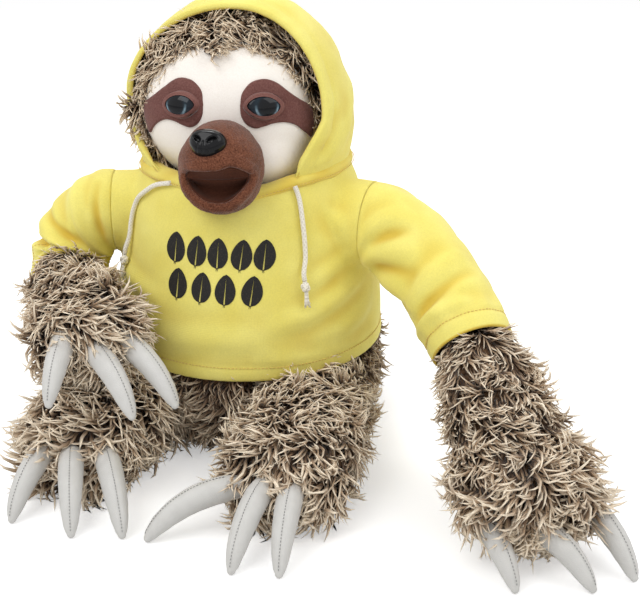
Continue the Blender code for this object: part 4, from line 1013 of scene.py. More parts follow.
# hood: one curved sheet from the collar over the head, with a turned front edge
hood = {
    "outline": ((0.1976, 0.0740), (0.2090, 0.0765), (0.2228, 0.0783), (0.2389, 0.0776), (0.2500, 0.0751),
                (0.2613, 0.0713), (0.2720, 0.0668), (0.2818, 0.0610), (0.2909, 0.0538), (0.2986, 0.0456),
                (0.3056, 0.0361), (0.3101, 0.0265), (0.3134, 0.0160), (0.3149, 0.0103), (0.3155, 0.0)),
    "centre": (0.0, 0.0, 0.1990), "openWidth": (0.0780, 0.0665), "openRise": 0.0742, "openHeight": 0.2360,
    "openDrop": 0.0638, "openFrom": -36.0, "openEnd": 0.0465, "lean": 0.0100, "leanHeight": 0.2580,
    "around": 128, "along": 56, "wall": 0.0018, "roll": 0.0024, "flap": 0.010, "band": 0.0105,
}
hoodFolds = (
    (((0.060, -0.040, 0.202), (0.072, -0.018, 0.224), (0.070, 0.010, 0.250)), 0.0026, 0.0070),
    (((0.050, -0.052, 0.202), (0.066, -0.034, 0.215), (0.072, -0.020, 0.240)), 0.0020, 0.0050),
    (((-0.060, -0.040, 0.204), (-0.072, -0.015, 0.222), (-0.066, 0.015, 0.245)), 0.0022, 0.0070),
    (((0.030, 0.000, 0.300), (0.050, 0.012, 0.280), (0.060, 0.026, 0.250)), 0.0016, 0.0080),
    (((0.072, 0.022, 0.206), (0.040, 0.064, 0.216), (0.000, 0.075, 0.220), (-0.040, 0.062, 0.214)), 0.0024,
     0.0070),
    (((0.062, 0.040, 0.240), (0.030, 0.068, 0.246), (-0.020, 0.070, 0.244)), 0.0018, 0.0080),
    (((0.000, 0.010, 0.311), (0.000, 0.050, 0.286), (0.000, 0.072, 0.250), (0.000, 0.074, 0.210)), 0.0010,
     0.0030),
)


def hoodRadius(z):
    heights = [h for h, _ in hood["outline"]]
    return float(np.interp(z, heights, [r for _, r in hood["outline"]]))


def onHood(way):
    # where a ray from the middle of the neck meets the bell
    centre = Vector(hood["centre"])
    low, high = 0.02, 0.16
    for _ in range(40):
        mid = (low + high) / 2
        p = centre + way * mid
        inside = p.z < 0.3155 and math.hypot(p.x, p.y) < hoodRadius(p.z)
        low, high = (mid, high) if inside else (low, mid)
    return centre + way * low


def rimPoint(t):
    # the face opening, from the neck on one side over the brow to the other
    angle = math.radians(hood["openFrom"] + (180 - 2 * hood["openFrom"]) * t)
    low = max(-math.sin(angle), 0.0)
    z = hood["openHeight"] + (hood["openDrop"] if low else hood["openRise"]) * math.sin(angle)
    r = hoodRadius(z)
    wide = hood["openWidth"][1 if t < 0.5 else 0]
    if low:
        steep = 1.15 if t < 0.5 else 2.4
        x = math.copysign(wide + (hood["openEnd"] - wide) * (low / 0.588) ** steep, math.cos(angle))
    else:
        x = wide * math.cos(angle)
    x = min(max(x, -0.985 * r), 0.985 * r)
    return Vector((x, -math.sqrt(r * r - x * x), z))


def makeHood(v):
    # columns of points, each from the face opening back to the neck
    centre = Vector(v["centre"])
    start, end = rimPoint(0.0), rimPoint(1.0)
    first = math.atan2(start.x, -start.y)
    span = (math.atan2(end.x, -end.y) - first) % math.tau
    columns = []
    for i in range(v["around"] + 1):
        t = i / v["around"]
        turn = first + span * t
        height, radius = v["outline"][0]
        neck = Vector((math.sin(turn), -math.cos(turn), 0.0)) * radius + upWay * height
        a = (rimPoint(t) - centre).normalized()
        b = (neck - centre).normalized()
        ways = [a.slerp(b, k / v["along"]) if a.angle(b) > 1e-4 else a for k in range(v["along"] + 1)]
        columns.append([onHood(way) for way in ways])
    return columns


hoodColumns = makeHood(hood)
rows = [[column[k] for column in hoodColumns] for k in range(hood["along"] + 1)]
rimRows = []
for a in (180, 150, 120, 90, 60, 30):
    row = []
    for i, column in enumerate(hoodColumns):
        out = (column[0] - Vector(hood["centre"])).normalized()
        run = (column[0] - column[2]).normalized()
        out = (out - run * out.dot(run)).normalized()
        r = hood["roll"] * easeBetween(0.0, 0.05, min(i, hood["around"] - i) / hood["around"])
        row.append(column[0] + run * (r * math.sin(math.radians(a)))
                   - out * (r * (1 - math.cos(math.radians(a)))))
    rimRows.append(row)
flap = []
for i, (base, column) in enumerate(zip(rimRows[0], hoodColumns)):
    deep = hood["flap"] * easeBetween(0.0, 0.08, min(i, hood["around"] - i) / hood["around"]) + 0.0004
    flap.append(base + (column[2] - column[0]).normalized() * deep)
rows = [flap] + rimRows + rows
hoodPiece = gridPiece("hoodShell", rows, clothYellow, isRound=False, uvSize=(0.42, 0.16))
spots = coordsOf(hoodPiece)
count = hood["around"] + 1
level = np.arange(len(spots)) // count - len(rimRows) - 1
depth = foldDepth(spots, hoodFolds) + softWaves(spots, 0.0010, 0.030, 9)
rimGap = np.array([(Vector(spots[i]) - hoodColumns[i % count][0]).length for i in range(len(spots))])
seamGroove = np.exp(-((rimGap - hood["band"]) / 0.0014) ** 2) * (level > 0)
fade = np.clip(np.where(level > 0, rimGap, 0) / 0.012, 0.0, 1) * np.clip((spots[:, 2] - 0.1975) / 0.010, 0, 1)
shape = depth * fade - seamGroove * 0.0009 * np.clip((spots[:, 2] - 0.1975) / 0.010, 0, 1)
spots = spots + normalsOf(hoodPiece) * shape[:, None]
lean = np.exp(-((spots[:, 2] - hood["leanHeight"]) / 0.034) ** 2) * np.clip(-spots[:, 0] / 0.06, 0, 1)
spots[:, 0] -= hood["lean"] * lean  # the coat pushes the cloth out on the low side
setCoords(hoodPiece, spots)
# painted shade in the fold hollows and, at half strength, on the turned-under front edge
pointValues(hoodPiece, "paintedShade", np.clip(-(depth * fade) / 0.003, 0, 1) * 0.7 + 0.5 * (level < -3))
giveWall(hoodPiece, hood["wall"])
settle(hoodPiece, "head", "hood", "hood")

# neck band: a turned strip with stitches that hides the seam of the hood
neckBand = {
    "profile": ((0.0750, 0.1935), (0.0766, 0.1955), (0.0771, 0.1982), (0.0760, 0.2006), (0.0728, 0.2021),
                (0.0684, 0.2024), (0.0642, 0.2014), (0.0615, 0.1990), (0.0608, 0.1955)),
    "around": 120, "stitchSpot": (0.0779, 0.1966), "wall": 0.0012,
}


def makeNeckBand(v):
    rows = [ringAt(upWay * z, Vector((1, 0, 0)), Vector((0, 1, 0)), r, r, v["around"])
            for r, z in v["profile"]]
    piece = gridPiece("neckBand", rows, clothYellow, uvSize=(0.47, 0.024))
    coords = coordsOf(piece)
    moved = coords + normalsOf(piece) * softWaves(coords, 0.0007, 0.014, 15)[:, None]
    moved[:, 2] -= neckDrop(moved)
    setCoords(piece, moved)
    # painted shade over the whole neck band, stronger and weaker along it
    pointValues(piece, "paintedShade", np.clip(0.40 + softWaves(coords, 0.5, 0.02, 3), 0.1, 1))
    giveWall(piece, v["wall"])
    settle(piece, "torso", "hoodie_body")
    r, z = v["stitchSpot"]
    run = ringAt(upWay * z, Vector((1, 0, 0)), Vector((0, 1, 0)), r, r, 181)
    run = [p - upWay * float(neckDrop(np.array([p]))[0]) for p in run]
    stitchRow("neckStitches", [run + run[:1]], threadYellow, "torso", "hoodie_body")


makeNeckBand(neckBand)
print("hood made")


# fur: a skin under each furred body, then curved locks by Geometry Nodes
pile = {
    "lockLength": 0.0225, "lockRadius": 0.00098, "spacing": 0.0013,
    "thickness": (0.55, 0.90, 1.0, 0.92, 0.62, 0.0),
    "curls": ((0.0, 1.6, 0.30), (-0.2, 1.2, 0.50), (-0.4, 2.3, 0.20), (0.1, 0.8, -0.50), (-0.5, 2.8, 0.30),
              (0.0, 1.4, -0.40)),
}


def makeLocks(v):
    # a few curved locks, three-sided and closed, with a value that runs from root to tip
    store = bpy.data.collections.new("locks")
    sections = len(v["thickness"]) - 1
    for number, (start, bend, wave) in enumerate(v["curls"]):
        spot, rows, alongs = Vector(), [], []
        for i, thick in enumerate(v["thickness"]):
            t = i / sections
            a = start + bend * t + wave * math.sin(math.tau * t)
            way = Vector((math.sin(a), 0.25 * wave * math.cos(math.pi * t), math.cos(a))).normalized()
            side = Vector((0, 1, 0))
            lift = way.cross(side).normalized()
            r = v["lockRadius"] * thick
            rows.append([spot + side * (r * 0.62 * math.cos(q)) + lift * (r * 1.25 * math.sin(q))
                         for q in (0.5, 2.6, 4.7)] if r else [spot.copy()])
            alongs += [t] * len(rows[-1])
            spot = spot + way * (v["lockLength"] / sections)
        points = [p for row in rows for p in row]
        faces = [(2, 1, 0)]
        for i in range(sections - 1):
            for j in range(3):
                k = (j + 1) % 3
                faces.append((i * 3 + j, i * 3 + k, i * 3 + 3 + k, i * 3 + 3 + j))
        last = (sections - 1) * 3
        faces += [(last + j, last + (j + 1) % 3, last + 3) for j in range(3)]
        lock = meshPiece(f"lock{number}", points, faces)
        outwards(lock)
        pointValues(lock, "along", alongs)
        scene.collection.objects.unlink(lock)
        store.objects.link(lock)
    return store


def furTree(locks):
    tree, given = startTree("pile", {
        "Geometry": "Geometry", "Spacing": "Float", "Density": "Float", "Lift": "Float", "Comb": "Float",
        "Tousle": "Float", "Seed": "Int", "Pile": "Material"})

    def named(name, kind="FLOAT"):
        return put(tree, "GeometryNodeInputNamedAttribute", {"Name": name}, data_type=kind).outputs[0]

    def vector(operation, a, b=None, scale=None):
        made = put(tree, "ShaderNodeVectorMath", {0: a}, operation=operation)
        for key, value in ((1, b), (3, scale)):
            if isinstance(value, bpy.types.NodeSocket):
                tree.links.new(value, made.inputs[key])
            elif value is not None:
                made.inputs[key].default_value = value
        return made.outputs[0]

    def chance(kind, low, high, seed):
        made = put(tree, "FunctionNodeRandomValue", data_type=kind)
        keys = {"FLOAT_VECTOR": (0, 1), "FLOAT": (2, 3), "INT": (4, 5)}[kind]
        made.inputs[keys[0]].default_value = low
        made.inputs[keys[1]].default_value = high
        made.inputs["Seed"].default_value = seed
        return made.outputs[{"FLOAT_VECTOR": 0, "FLOAT": 1, "INT": 2}[kind]]

    roots = put(tree, "GeometryNodeDistributePointsOnFaces", {
        "Mesh": given["Geometry"], "Distance Min": given["Spacing"], "Density Max": given["Density"],
        "Density Factor": named("furCover"), "Seed": given["Seed"]}, distribute_method="POISSON")
    place = put(tree, "GeometryNodeInputPosition").outputs[0]
    clump = noiseAt(tree, place, 80.0, 1.0)
    swirl = vector("SUBTRACT", clump.outputs["Color"], (0.5, 0.5, 0.5))
    jitter = chance("FLOAT_VECTOR", (-0.18, -0.18, -0.18), (0.18, 0.18, 0.18), 3)
    way = vector("SCALE", roots.outputs["Normal"], scale=given["Lift"])
    way = vector("ADD", way, vector("SCALE", named("comb", "FLOAT_VECTOR"), scale=given["Comb"]))
    tousled = sumOf(tree, "MULTIPLY", given["Tousle"], 3.2)
    way = vector("ADD", way, vector("SCALE", swirl, scale=tousled.outputs[0]))
    way = vector("NORMALIZE", vector("ADD", way, jitter))
    turn = put(tree, "FunctionNodeAlignRotationToVector", {"Vector": way}, axis="Z")
    # a lock bends in the plane of the skin, to a side that neighbours share
    beside = vector("CROSS_PRODUCT", way, roots.outputs["Normal"])
    turn = put(tree, "FunctionNodeAlignRotationToVector", {"Rotation": turn.outputs[0], "Vector": beside},
               axis="X", pivot_axis="Z")
    curlField = noiseAt(tree, place, 55.0, 0.0)
    spin = spread(tree, curlField.outputs["Fac"], 0.44, 0.56, -0.2, 3.3)
    spin = sumOf(tree, "ADD", spin.outputs[0], chance("FLOAT", -0.7, 0.7, 5))
    spinEuler = put(tree, "ShaderNodeCombineXYZ", {2: spin.outputs[0]})
    spinTurn = put(tree, "FunctionNodeEulerToRotation", {0: spinEuler.outputs[0]})
    turn = put(tree, "FunctionNodeRotateRotation", {
        "Rotation": turn.outputs[0], "Rotate By": spinTurn.outputs[0]}, rotation_space="LOCAL")
    size = sumOf(tree, "MULTIPLY", named("furLength"), chance("FLOAT", 0.72, 1.22, 9))
    wide = chance("FLOAT", 0.75, 1.2, 12)
    wide = sumOf(tree, "MULTIPLY", wide, size.outputs[0])
    sizes = put(tree, "ShaderNodeCombineXYZ", {0: size.outputs[0], 1: wide.outputs[0], 2: size.outputs[0]})
    info = put(tree, "GeometryNodeCollectionInfo", {"Collection": locks, "Separate Children": True})
    planted = put(tree, "GeometryNodeInstanceOnPoints", {
        "Points": roots.outputs["Points"], "Instance": info.outputs[0], "Pick Instance": True,
        "Instance Index": chance("INT", 0, 5, 14), "Rotation": turn.outputs[0], "Scale": sizes.outputs[0]})
    toneField = sumOf(tree, "MULTIPLY", chance("FLOAT", 0.0, 1.0, 17), clump.outputs["Fac"])
    toneField = sumOf(tree, "MULTIPLY", toneField.outputs[0], 1.6, clamp=True)
    toned = put(tree, "GeometryNodeStoreNamedAttribute", {"Geometry": planted.outputs[0], "Name": "tone",
                                                          "Value": toneField.outputs[0]},
                data_type="FLOAT", domain="INSTANCE")
    real = put(tree, "GeometryNodeRealizeInstances", {0: toned.outputs[0]})
    pair = put(tree, "ShaderNodeCombineXYZ", {0: named("tone"), 1: named("along")})
    mapped = put(tree, "GeometryNodeStoreNamedAttribute", {"Geometry": real.outputs[0], "Name": "OFBake",
                                                           "Value": pair.outputs[0]},
                 data_type="FLOAT2", domain="CORNER")
    axes = put(tree, "ShaderNodeSeparateXYZ", {0: put(tree, "GeometryNodeInputPosition").outputs[0]})
    floor = sumOf(tree, "MAXIMUM", axes.outputs[2], 0.0004)
    lifted = put(tree, "ShaderNodeCombineXYZ", {0: axes.outputs[0], 1: axes.outputs[1], 2: floor.outputs[0]})
    laid = put(tree, "GeometryNodeSetPosition",
               {"Geometry": mapped.outputs[0], "Position": lifted.outputs[0]})
    return endTree(tree, laid.outputs[0], given["Pile"])


locks = makeLocks(pile)
pileTree = furTree(locks)


def growFur(name, skin, body, slot, cover, comb, length, material=None, **values):
    coat = bpy.data.objects.new(name, skin.data.copy())
    scene.collection.objects.link(coat)
    coords, normals = coordsOf(coat), normalsOf(coat)
    pointValues(coat, "furCover", cover(coords, normals))
    pointValues(coat, "furLength", length(coords, normals))
    pointValues(coat, "comb", comb(coords, normals), "FLOAT_VECTOR")
    given = {"Spacing": pile["spacing"], "Density": 280000.0, "Lift": 0.36, "Comb": 0.75, "Tousle": 0.95,
             "Seed": 1, "Pile": material or furBrown, **values}
    useTree(coat, pileTree, given)
    coat.data.shade_smooth()
    settle(coat, body, slot)
    print(name, sum(len(f.vertices) - 2 for f in coat.data.polygons), "triangles")
    return coat


def alongComb(way, drop=0.4, start=None):
    # hair lies along a limb and falls a little, flat where it leaves a cuff
    run = np.array(way)

    def comb(coords, normals):
        field = run[None, :] + np.array([0, 0, -drop])[None, :]
        field = field - normals * (field * normals).sum(1)[:, None]
        field = field / np.maximum(np.linalg.norm(field, axis=1), 1e-6)[:, None]
        if start:
            near = 1 - np.clip(((coords - np.array(start)) @ run) / 0.016, 0, 1)
            field = field * (1 + 1.3 * near)[:, None]
        return field
    return comb


torsoSkin = softCopy("torso", "torsoSkin", backingShade, 0.004, 5)
settle(torsoSkin, "torso", "torso", "torso", "torso_stuffing", "pellet_bag")


def torsoCover(coords, normals):
    # only where the top leaves the coat bare, and not on the seat
    open_ = np.clip((0.066 - coords[:, 2]) / 0.004, 0, 1) * np.clip((coords[:, 2] - 0.004) / 0.004, 0, 1)
    outer = np.clip((np.hypot(coords[:, 0], coords[:, 1]) - 0.050) / 0.02, 0, 1)
    return open_ * outer * (normals[:, 2] > -0.8)


def torsoComb(coords, normals):
    field = np.stack([coords[:, 1] * 4, -coords[:, 0] * 4, np.full(len(coords), -0.9)], 1)
    field = field - normals * (field * normals).sum(1)[:, None]
    return field / np.maximum(np.linalg.norm(field, axis=1), 1e-6)[:, None]


def torsoLength(coords, normals):
    return np.clip(0.55 + (0.066 - coords[:, 2]) / 0.040, 0.55, 0.95)


# the belly fur under the hem takes the darker pile as painted shadow
growFur("torsoFur", torsoSkin, "torso", "torso", torsoCover, torsoComb, torsoLength, furHemShadow, Seed=2,
        Density=230000.0)

limbs = {
    "left": {"forearm": ((0.1785, -0.1054, 0.0930), (-63.5, -32.0), 0.1130), "leg": (-90.0, 0.137),
             "pile": 1.0},
    "right": {"forearm": ((-0.1195, -0.0583, 0.1090), (-62.0, -6.0), 0.091), "leg": (-105.0, 0.121),
              "pile": 1.2},
}
for number, (word, v) in enumerate(limbs.items()):
    start, (heading, pitch), length = v["forearm"]
    way = direction(heading, pitch)
    skin = softCopy(f"forearm_{word}", f"forearmSkin{word.capitalize()}", backingShade, 0.0035, 4)
    coords = coordsOf(skin)
    ahead = (coords - np.array(start)) @ np.array(way)
    full = 0.0040 * np.exp(-((ahead - 0.002) / 0.016) ** 2)
    setCoords(skin, coords + normalsOf(skin) * full[:, None])
    settle(skin, f"{word}_forearm", f"forearm_{word}", f"forearm_{word}")

    def armCover(coords, normals, start=start, way=way):
        ahead = (coords - np.array(start)) @ np.array(way)
        return np.clip((ahead + 0.019) / 0.005, 0, 1) * (coords[:, 2] > 0.006)

    def armLength(coords, normals, start=start, way=way, length=length):
        ahead = (coords - np.array(start)) @ np.array(way) / length
        return np.clip(0.78 + ahead * 0.4, 0.72, 1.20)

    growFur(f"forearmFur{word.capitalize()}", skin, f"{word}_forearm", f"forearm_{word}", armCover,
            alongComb(way, start=start), armLength, Seed=10 + number)
    heading, length = v["leg"]
    skin = softCopy(f"leg_{word}", f"legSkin{word.capitalize()}", backingShade, 0.0035, 4)
    settle(skin, f"{word}_leg", f"leg_{word}", f"leg_{word}")

    def legCover(coords, normals):
        under = (np.hypot(coords[:, 0], coords[:, 1]) < 0.084) & (coords[:, 2] > 0.050)
        bare = np.clip((normals[:, 2] + 0.75) / 0.2, 0, 1)
        return bare * (coords[:, 1] < -0.020) * (coords[:, 2] > 0.006) * ~under

    def legLength(coords, normals, full=v["pile"]):
        return full * (1 + 0.22 * np.clip((-coords[:, 1] - 0.145) / 0.03, 0, 1))

    growFur(f"legFur{word.capitalize()}", skin, f"{word}_leg", f"leg_{word}", legCover,
            alongComb(direction(heading, 0.0), 0.5), legLength, Seed=20 + number, Density=250000.0)

head = {"centre": (-0.0072, 0.0, 0.2350), "half": (0.0595, 0.0600, 0.0590), "side": 73.0, "farSide": 68.0,
        "brow": 57.0,
        "chin": 66.0, "turn": 1.5, "jowl": 0.0038, "thicker": (0.0035, 0.0090), "crown": 0.0045,
        "cheeks": (((0.74, -0.44, -0.51), 0.0055, 0.72), ((0.42, -0.55, -0.72), 0.0066, 0.80))}


def faceAxes():
    out = direction(-90.0 + head["turn"], 0.0)
    side, lift = squareTo(out)
    return out, side * -1, lift


def faceLimit(angle):
    # how far the panel reaches from its middle, in degrees
    across, rise = math.cos(angle), math.sin(angle)
    across /= head["side"] if across < 0 else head["farSide"]
    rise /= head["brow"] if rise > 0 else head["chin"]
    return 1.0 / math.hypot(across, rise)


def onHead(way, offset):
    # the cheeks stand a little fuller than the ball of the head
    aim = way.normalized()
    offset = offset + head["jowl"] * easeBetween(0.45, 0.95, -aim.x)
    offset += sum(h * easeBetween(low, 0.98, aim.dot(Vector(to).normalized()))
                  for to, h, low in head["cheeks"])
    half = [h + offset for h in head["half"]]
    scale = math.sqrt(sum((way[i] / half[i]) ** 2 for i in range(3)))
    spot = way / scale
    normal = Vector([spot[i] / half[i] ** 2 for i in range(3)]).normalized()
    return Vector(head["centre"]) + spot, normal


headSkin = softCopy("head", "headSkin", backingShade, 0.004, 4)
settle(headSkin, "head", "head", "head", "head_stuffing")
faceOut, faceSide, faceLift = faceAxes()


def faceShare(coords):
    # 1 at the face panel's edge, more behind it
    rel = coords - np.array(head["centre"])
    rel = rel / np.linalg.norm(rel, axis=1)[:, None]
    out, side, lift = rel @ np.array(faceOut), rel @ np.array(faceSide), rel @ np.array(faceLift)
    reach = np.degrees(np.arccos(np.clip(out, -1, 1)))
    limit = np.array([faceLimit(a) for a in np.arctan2(lift, side)])
    return reach / limit, side, lift


# face panel: a domed sheet of short cream plush
def makeFace():
    rings, spokes = 30, 96
    rows = []
    for i in range(rings + 1):
        share = 0.004 + 0.996 * i / rings
        row = []
        for j in range(spokes):
            angle = math.tau * j / spokes
            reach = math.radians(faceLimit(angle)) * share
            aside = faceSide * math.cos(angle) + faceLift * math.sin(angle)
            way = faceOut * math.cos(reach) + aside * math.sin(reach)
            proud = 0.0035 - 0.0016 * easeBetween(0.85, 1.0, share)
            row.append(onHead(way, proud)[0])
        rows.append(row)
    piece = gridPiece("facePanel", rows, creamPlush, uvSize=(0.2, 0.07), capEnds=(True, False))
    coords = coordsOf(piece)
    setCoords(piece, coords + normalsOf(piece) * softWaves(coords, 0.0005, 0.020, 12)[:, None])
    return piece


def thickenHead():
    # the coat's cloth fills out to the hood at both sides
    coords = coordsOf(headSkin)
    share, side, lift = faceShare(coords)
    low, more = head["thicker"]
    full = np.exp(-((coords[:, 2] - 0.232) / 0.032) ** 2) * np.clip((share - 1.0) / 0.10, 0, 1)
    full = full * np.clip((1.8 - share) / 0.4, 0, 1)
    rise = head["crown"] * np.clip((share - 1.0) / 0.12, 0, 1) * np.clip((lift - 0.3) / 0.3, 0, 1)
    full = full * (low + more * np.clip(side, 0, 1)) + rise
    setCoords(headSkin, coords + normalsOf(headSkin) * full[:, None])


def headCover(coords, normals):
    share, _, lift = faceShare(coords)
    seam = np.clip((share - 0.97) / 0.02, 0, 1)
    return seam * np.clip((1.42 + 0.2 * lift - share) / 0.1, 0, 1) * (coords[:, 2] > 0.188)


def headComb(coords, normals):
    # forward over the panel's edge, out to the sides and down
    share, side, lift = faceShare(coords)
    ring = np.stack([side * np.where(side < 0, 0.95, 0.75), np.full(len(side), -0.9), lift * 0.25], 1)
    ring[:, 2] -= np.where(lift > 0.3, 0.40, 0.95)
    field = ring - normals * (ring * normals).sum(1)[:, None] * 0.35
    return field / np.maximum(np.linalg.norm(field, axis=1), 1e-6)[:, None]


def headLength(coords, normals):
    share, side, lift = faceShare(coords)
    return 0.80 + 0.15 * (np.abs(side) > 0.5) * (lift < 0.55) + 0.12 * np.clip(-side, 0, 1) * (lift < 0.1)


def fringeCover(coords, normals):
    share, side, lift = faceShare(coords)
    begin = 0.945 - 0.065 * np.clip(side, 0, 1) - 0.14 * np.exp(-((side - 0.07) / 0.10) ** 2) * (lift > 0.4)
    return np.clip((share - begin) / 0.03, 0, 1) * np.clip((lift + 0.55) / 0.1, 0, 1)


def fringeComb(coords, normals):
    # down over the brow, parted a little to each side, and along the cheeks
    share, side, lift = faceShare(coords)
    field = np.stack([np.where(lift > 0.5, side * 1.2, side * 0.7), np.full(len(side), -0.35),
                      np.where(lift > 0.5, -0.75, -0.8)], 1)
    field = field - normals * (field * normals).sum(1)[:, None]
    tuft = np.exp(-((side - 0.07) / 0.12) ** 2) * (lift > 0.4)
    return field * ((1 + 0.8 * tuft) / np.maximum(np.linalg.norm(field, axis=1), 1e-6))[:, None]


def fringeLength(coords, normals):
    share, side, lift = faceShare(coords)
    tuft = np.exp(-((side - 0.07) / 0.10) ** 2) * (lift > 0.4)
    return 0.55 + 0.45 * tuft


thickenHead()
growFur("headFur", headSkin, "head", "head", headCover, headComb, headLength, furRing, Seed=31,
        Density=330000.0, Spacing=0.0011, Lift=0.42, Comb=0.9)
faceSheet = makeFace()
growFur("fringe", faceSheet, "head", "head", fringeCover, fringeComb, fringeLength, furRing, Seed=33,
        Density=600000.0, Spacing=0.0010, Lift=0.42, Comb=1.0, Tousle=0.7)
giveWall(faceSheet, 0.0020)
settle(faceSheet, "head", "face_panel", "face_panel")
for lock in list(locks.objects):
    bpy.data.objects.remove(lock)
bpy.data.collections.remove(locks)


# eye patches, eyes and lids, each laid out on the panel round the eye's middle
eyeLook = {
    "reach": 0.0284, "shift": 0.0052, "rise": 0.0120, "seat": 0.0058, "domeLift": 0.0003,
    "half": (0.0130, 0.0087), "bulge": 0.0052, "headRound": 0.0648,
    "patchSize": (0.060, 0.045), "patchMiddle": (0.20, -0.05), "patchProud": 0.0054,
    "patch": ((-0.285, 0.04), (-0.24, 0.24), (-0.15, 0.36), (-0.04, 0.42), (0.09, 0.42), (0.22, 0.34),
              (0.36, 0.20), (0.54, 0.06), (0.74, -0.06), (0.80, -0.18), (0.80, -0.34), (0.78, -0.50),
              (0.73, -0.66), (0.58, -0.52), (0.42, -0.37), (0.26, -0.28), (0.10, -0.28), (-0.02, -0.32),
              (-0.13, -0.34), (-0.23, -0.26), (-0.28, -0.12)),
    # the lid's rings from the outside in: half width, half height, lift over the eye, shift to the nose
    "lid": ((0.0145, 0.0095, -0.0034, 0.0002), (0.0141, 0.0091, -0.0018, 0.0002),
            (0.0137, 0.0087, -0.0006, 0.0003),
            (0.0134, 0.0084, 0.0002, 0.0005), (0.0130, 0.0080, 0.0001, 0.0008),
            (0.0127, 0.0076, -0.0002, 0.0010),
            (0.0124, 0.0073, -0.0003, 0.0012), (0.0121, 0.0070, -0.0001, 0.0014),
            (0.0118, 0.0067, 0.0002, 0.0016),
            (0.0115, 0.0065, 0.0001, 0.0017), (0.0114, 0.0064, -0.0006, 0.0018),
            (0.0114, 0.0064, -0.0014, 0.0018)),
    "lidOver": 1.16,
}


def eyeFrame(side):
    # the eye's middle on the head, the way out of it, and its own across and up
    half = [h + eyeLook["seat"] for h in head["half"]]
    x = side * eyeLook["reach"] + eyeLook["shift"]
    z = eyeLook["rise"]
    way = Vector((x, -half[1] * math.sqrt(1 - (x / half[0]) ** 2 - (z / half[2]) ** 2), z))
    spot, normal = onHead(way, eyeLook["seat"])
    across, lift = squareTo(normal)
    return spot, normal, across * side, lift


def makePatch(side, word):
    v = eyeLook
    spot, normal, outward, lift = eyeFrame(side)
    outline = throughPoints([(x, y, 0) for x, y in (*v["patch"], v["patch"][0])], 6)[:-1]
    middle = Vector((*v["patchMiddle"], 0))
    rows = []
    for share, proud in ((0.02, 0.0), (0.2, 0.0), (0.4, 0.0), (0.6, 0.0), (0.76, 0.0), (0.88, 0.0),
                         (0.95, -0.0004),
                         (0.985, -0.0012), (1.0, -0.0022), (1.0, -0.0036)):
        row = []
        for p in outline:
            q = middle.lerp(p, share)
            at = spot + outward * (q.x * v["patchSize"][0]) + lift * (q.y * v["patchSize"][1])
            row.append(onHead(at - Vector(head["centre"]), v["patchProud"] + proud)[0])
        rows.append(row)
    piece = gridPiece(f"eyePatch{word.capitalize()}", rows, maroonPlush, uvSize=(0.15, 0.03),
                      capEnds=(True, False))
    coords = coordsOf(piece)
    setCoords(piece, coords + normalsOf(piece) * softWaves(coords, 0.0003, 0.009, 14)[:, None])
    giveWall(piece, 0.0012)
    settle(piece, "head", f"eye_patch_{word}", f"eye_patch_{word}")


def domeHeight(x, y):
    v = eyeLook
    return v["bulge"] * math.sqrt(max(1 - (x / v["half"][0]) ** 2 - (y / v["half"][1]) ** 2, 0.0))


def makeEye(side, word):
    v = eyeLook
    spot, normal, outward, lift = eyeFrame(side)
    spot = spot + normal * v["domeLift"]
    rows, places = [], []
    for i in range(19):
        a = math.pi / 2 * i / 18
        wide, high = (h * math.sin(a) + 0.00002 for h in v["half"])
        rows.append(ringAt(spot + normal * (v["bulge"] * math.cos(a)), outward, lift, wide, high, 64))
        places += [(math.sin(a) * math.cos(math.tau * j / 64), math.sin(a) * math.sin(math.tau * j / 64))
                   for j in range(64)]
    rows.append([p - normal * 0.0030 for p in rows[-1]])
    places += places[-64:]
    piece = gridPiece(f"eye{word.capitalize()}", rows, irisGloss, uvSize=(0.07, 0.02), capEnds=(True, True))
    places += [(0.0, 0.0), (1.0, 0.0)]
    pointValues(piece, "eyeAcross", [p[0] for p in places])
    pointValues(piece, "eyeRise", [p[1] * v["half"][1] / v["half"][0] for p in places])
    settle(piece, "head", f"eye_{word}", f"eye_{word}")


def makeLid(side, word):
    v = eyeLook
    spot, normal, outward, lift = eyeFrame(side)
    spot = spot + normal * v["domeLift"]
    rows = []
    for wide, high, proud, shift in v["lid"]:
        row = []
        for j in range(72):
            a = math.tau * j / 72
            x = wide * math.cos(a) - shift
            y = high * math.sin(a) * (1 - 0.22 * abs(math.cos(a)) ** 3) - 0.0009 * math.cos(a)
            sink = (x * x + y * y) / (2 * v["headRound"]) * easeBetween(0.8, 1.3,
                                                                        math.hypot(x / v["half"][0],
                                                                                   y / v["half"][1]))
            rise = domeHeight(x / v["lidOver"], y / v["lidOver"]) - sink
            row.append(spot + outward * x + lift * y + normal * (rise + proud))
        rows.append(row)
    piece = gridPiece(f"eyelid{word.capitalize()}", rows, lidPlush, uvSize=(0.09, 0.012))
    giveWall(piece, 0.0004)
    settle(piece, "head", f"eyelid_{word}", f"eyelid_{word}")


for side, word in ((1, "left"), (-1, "right")):
    makePatch(side, word)
    makeEye(side, word)
    makeLid(side, word)
print("eyes made")


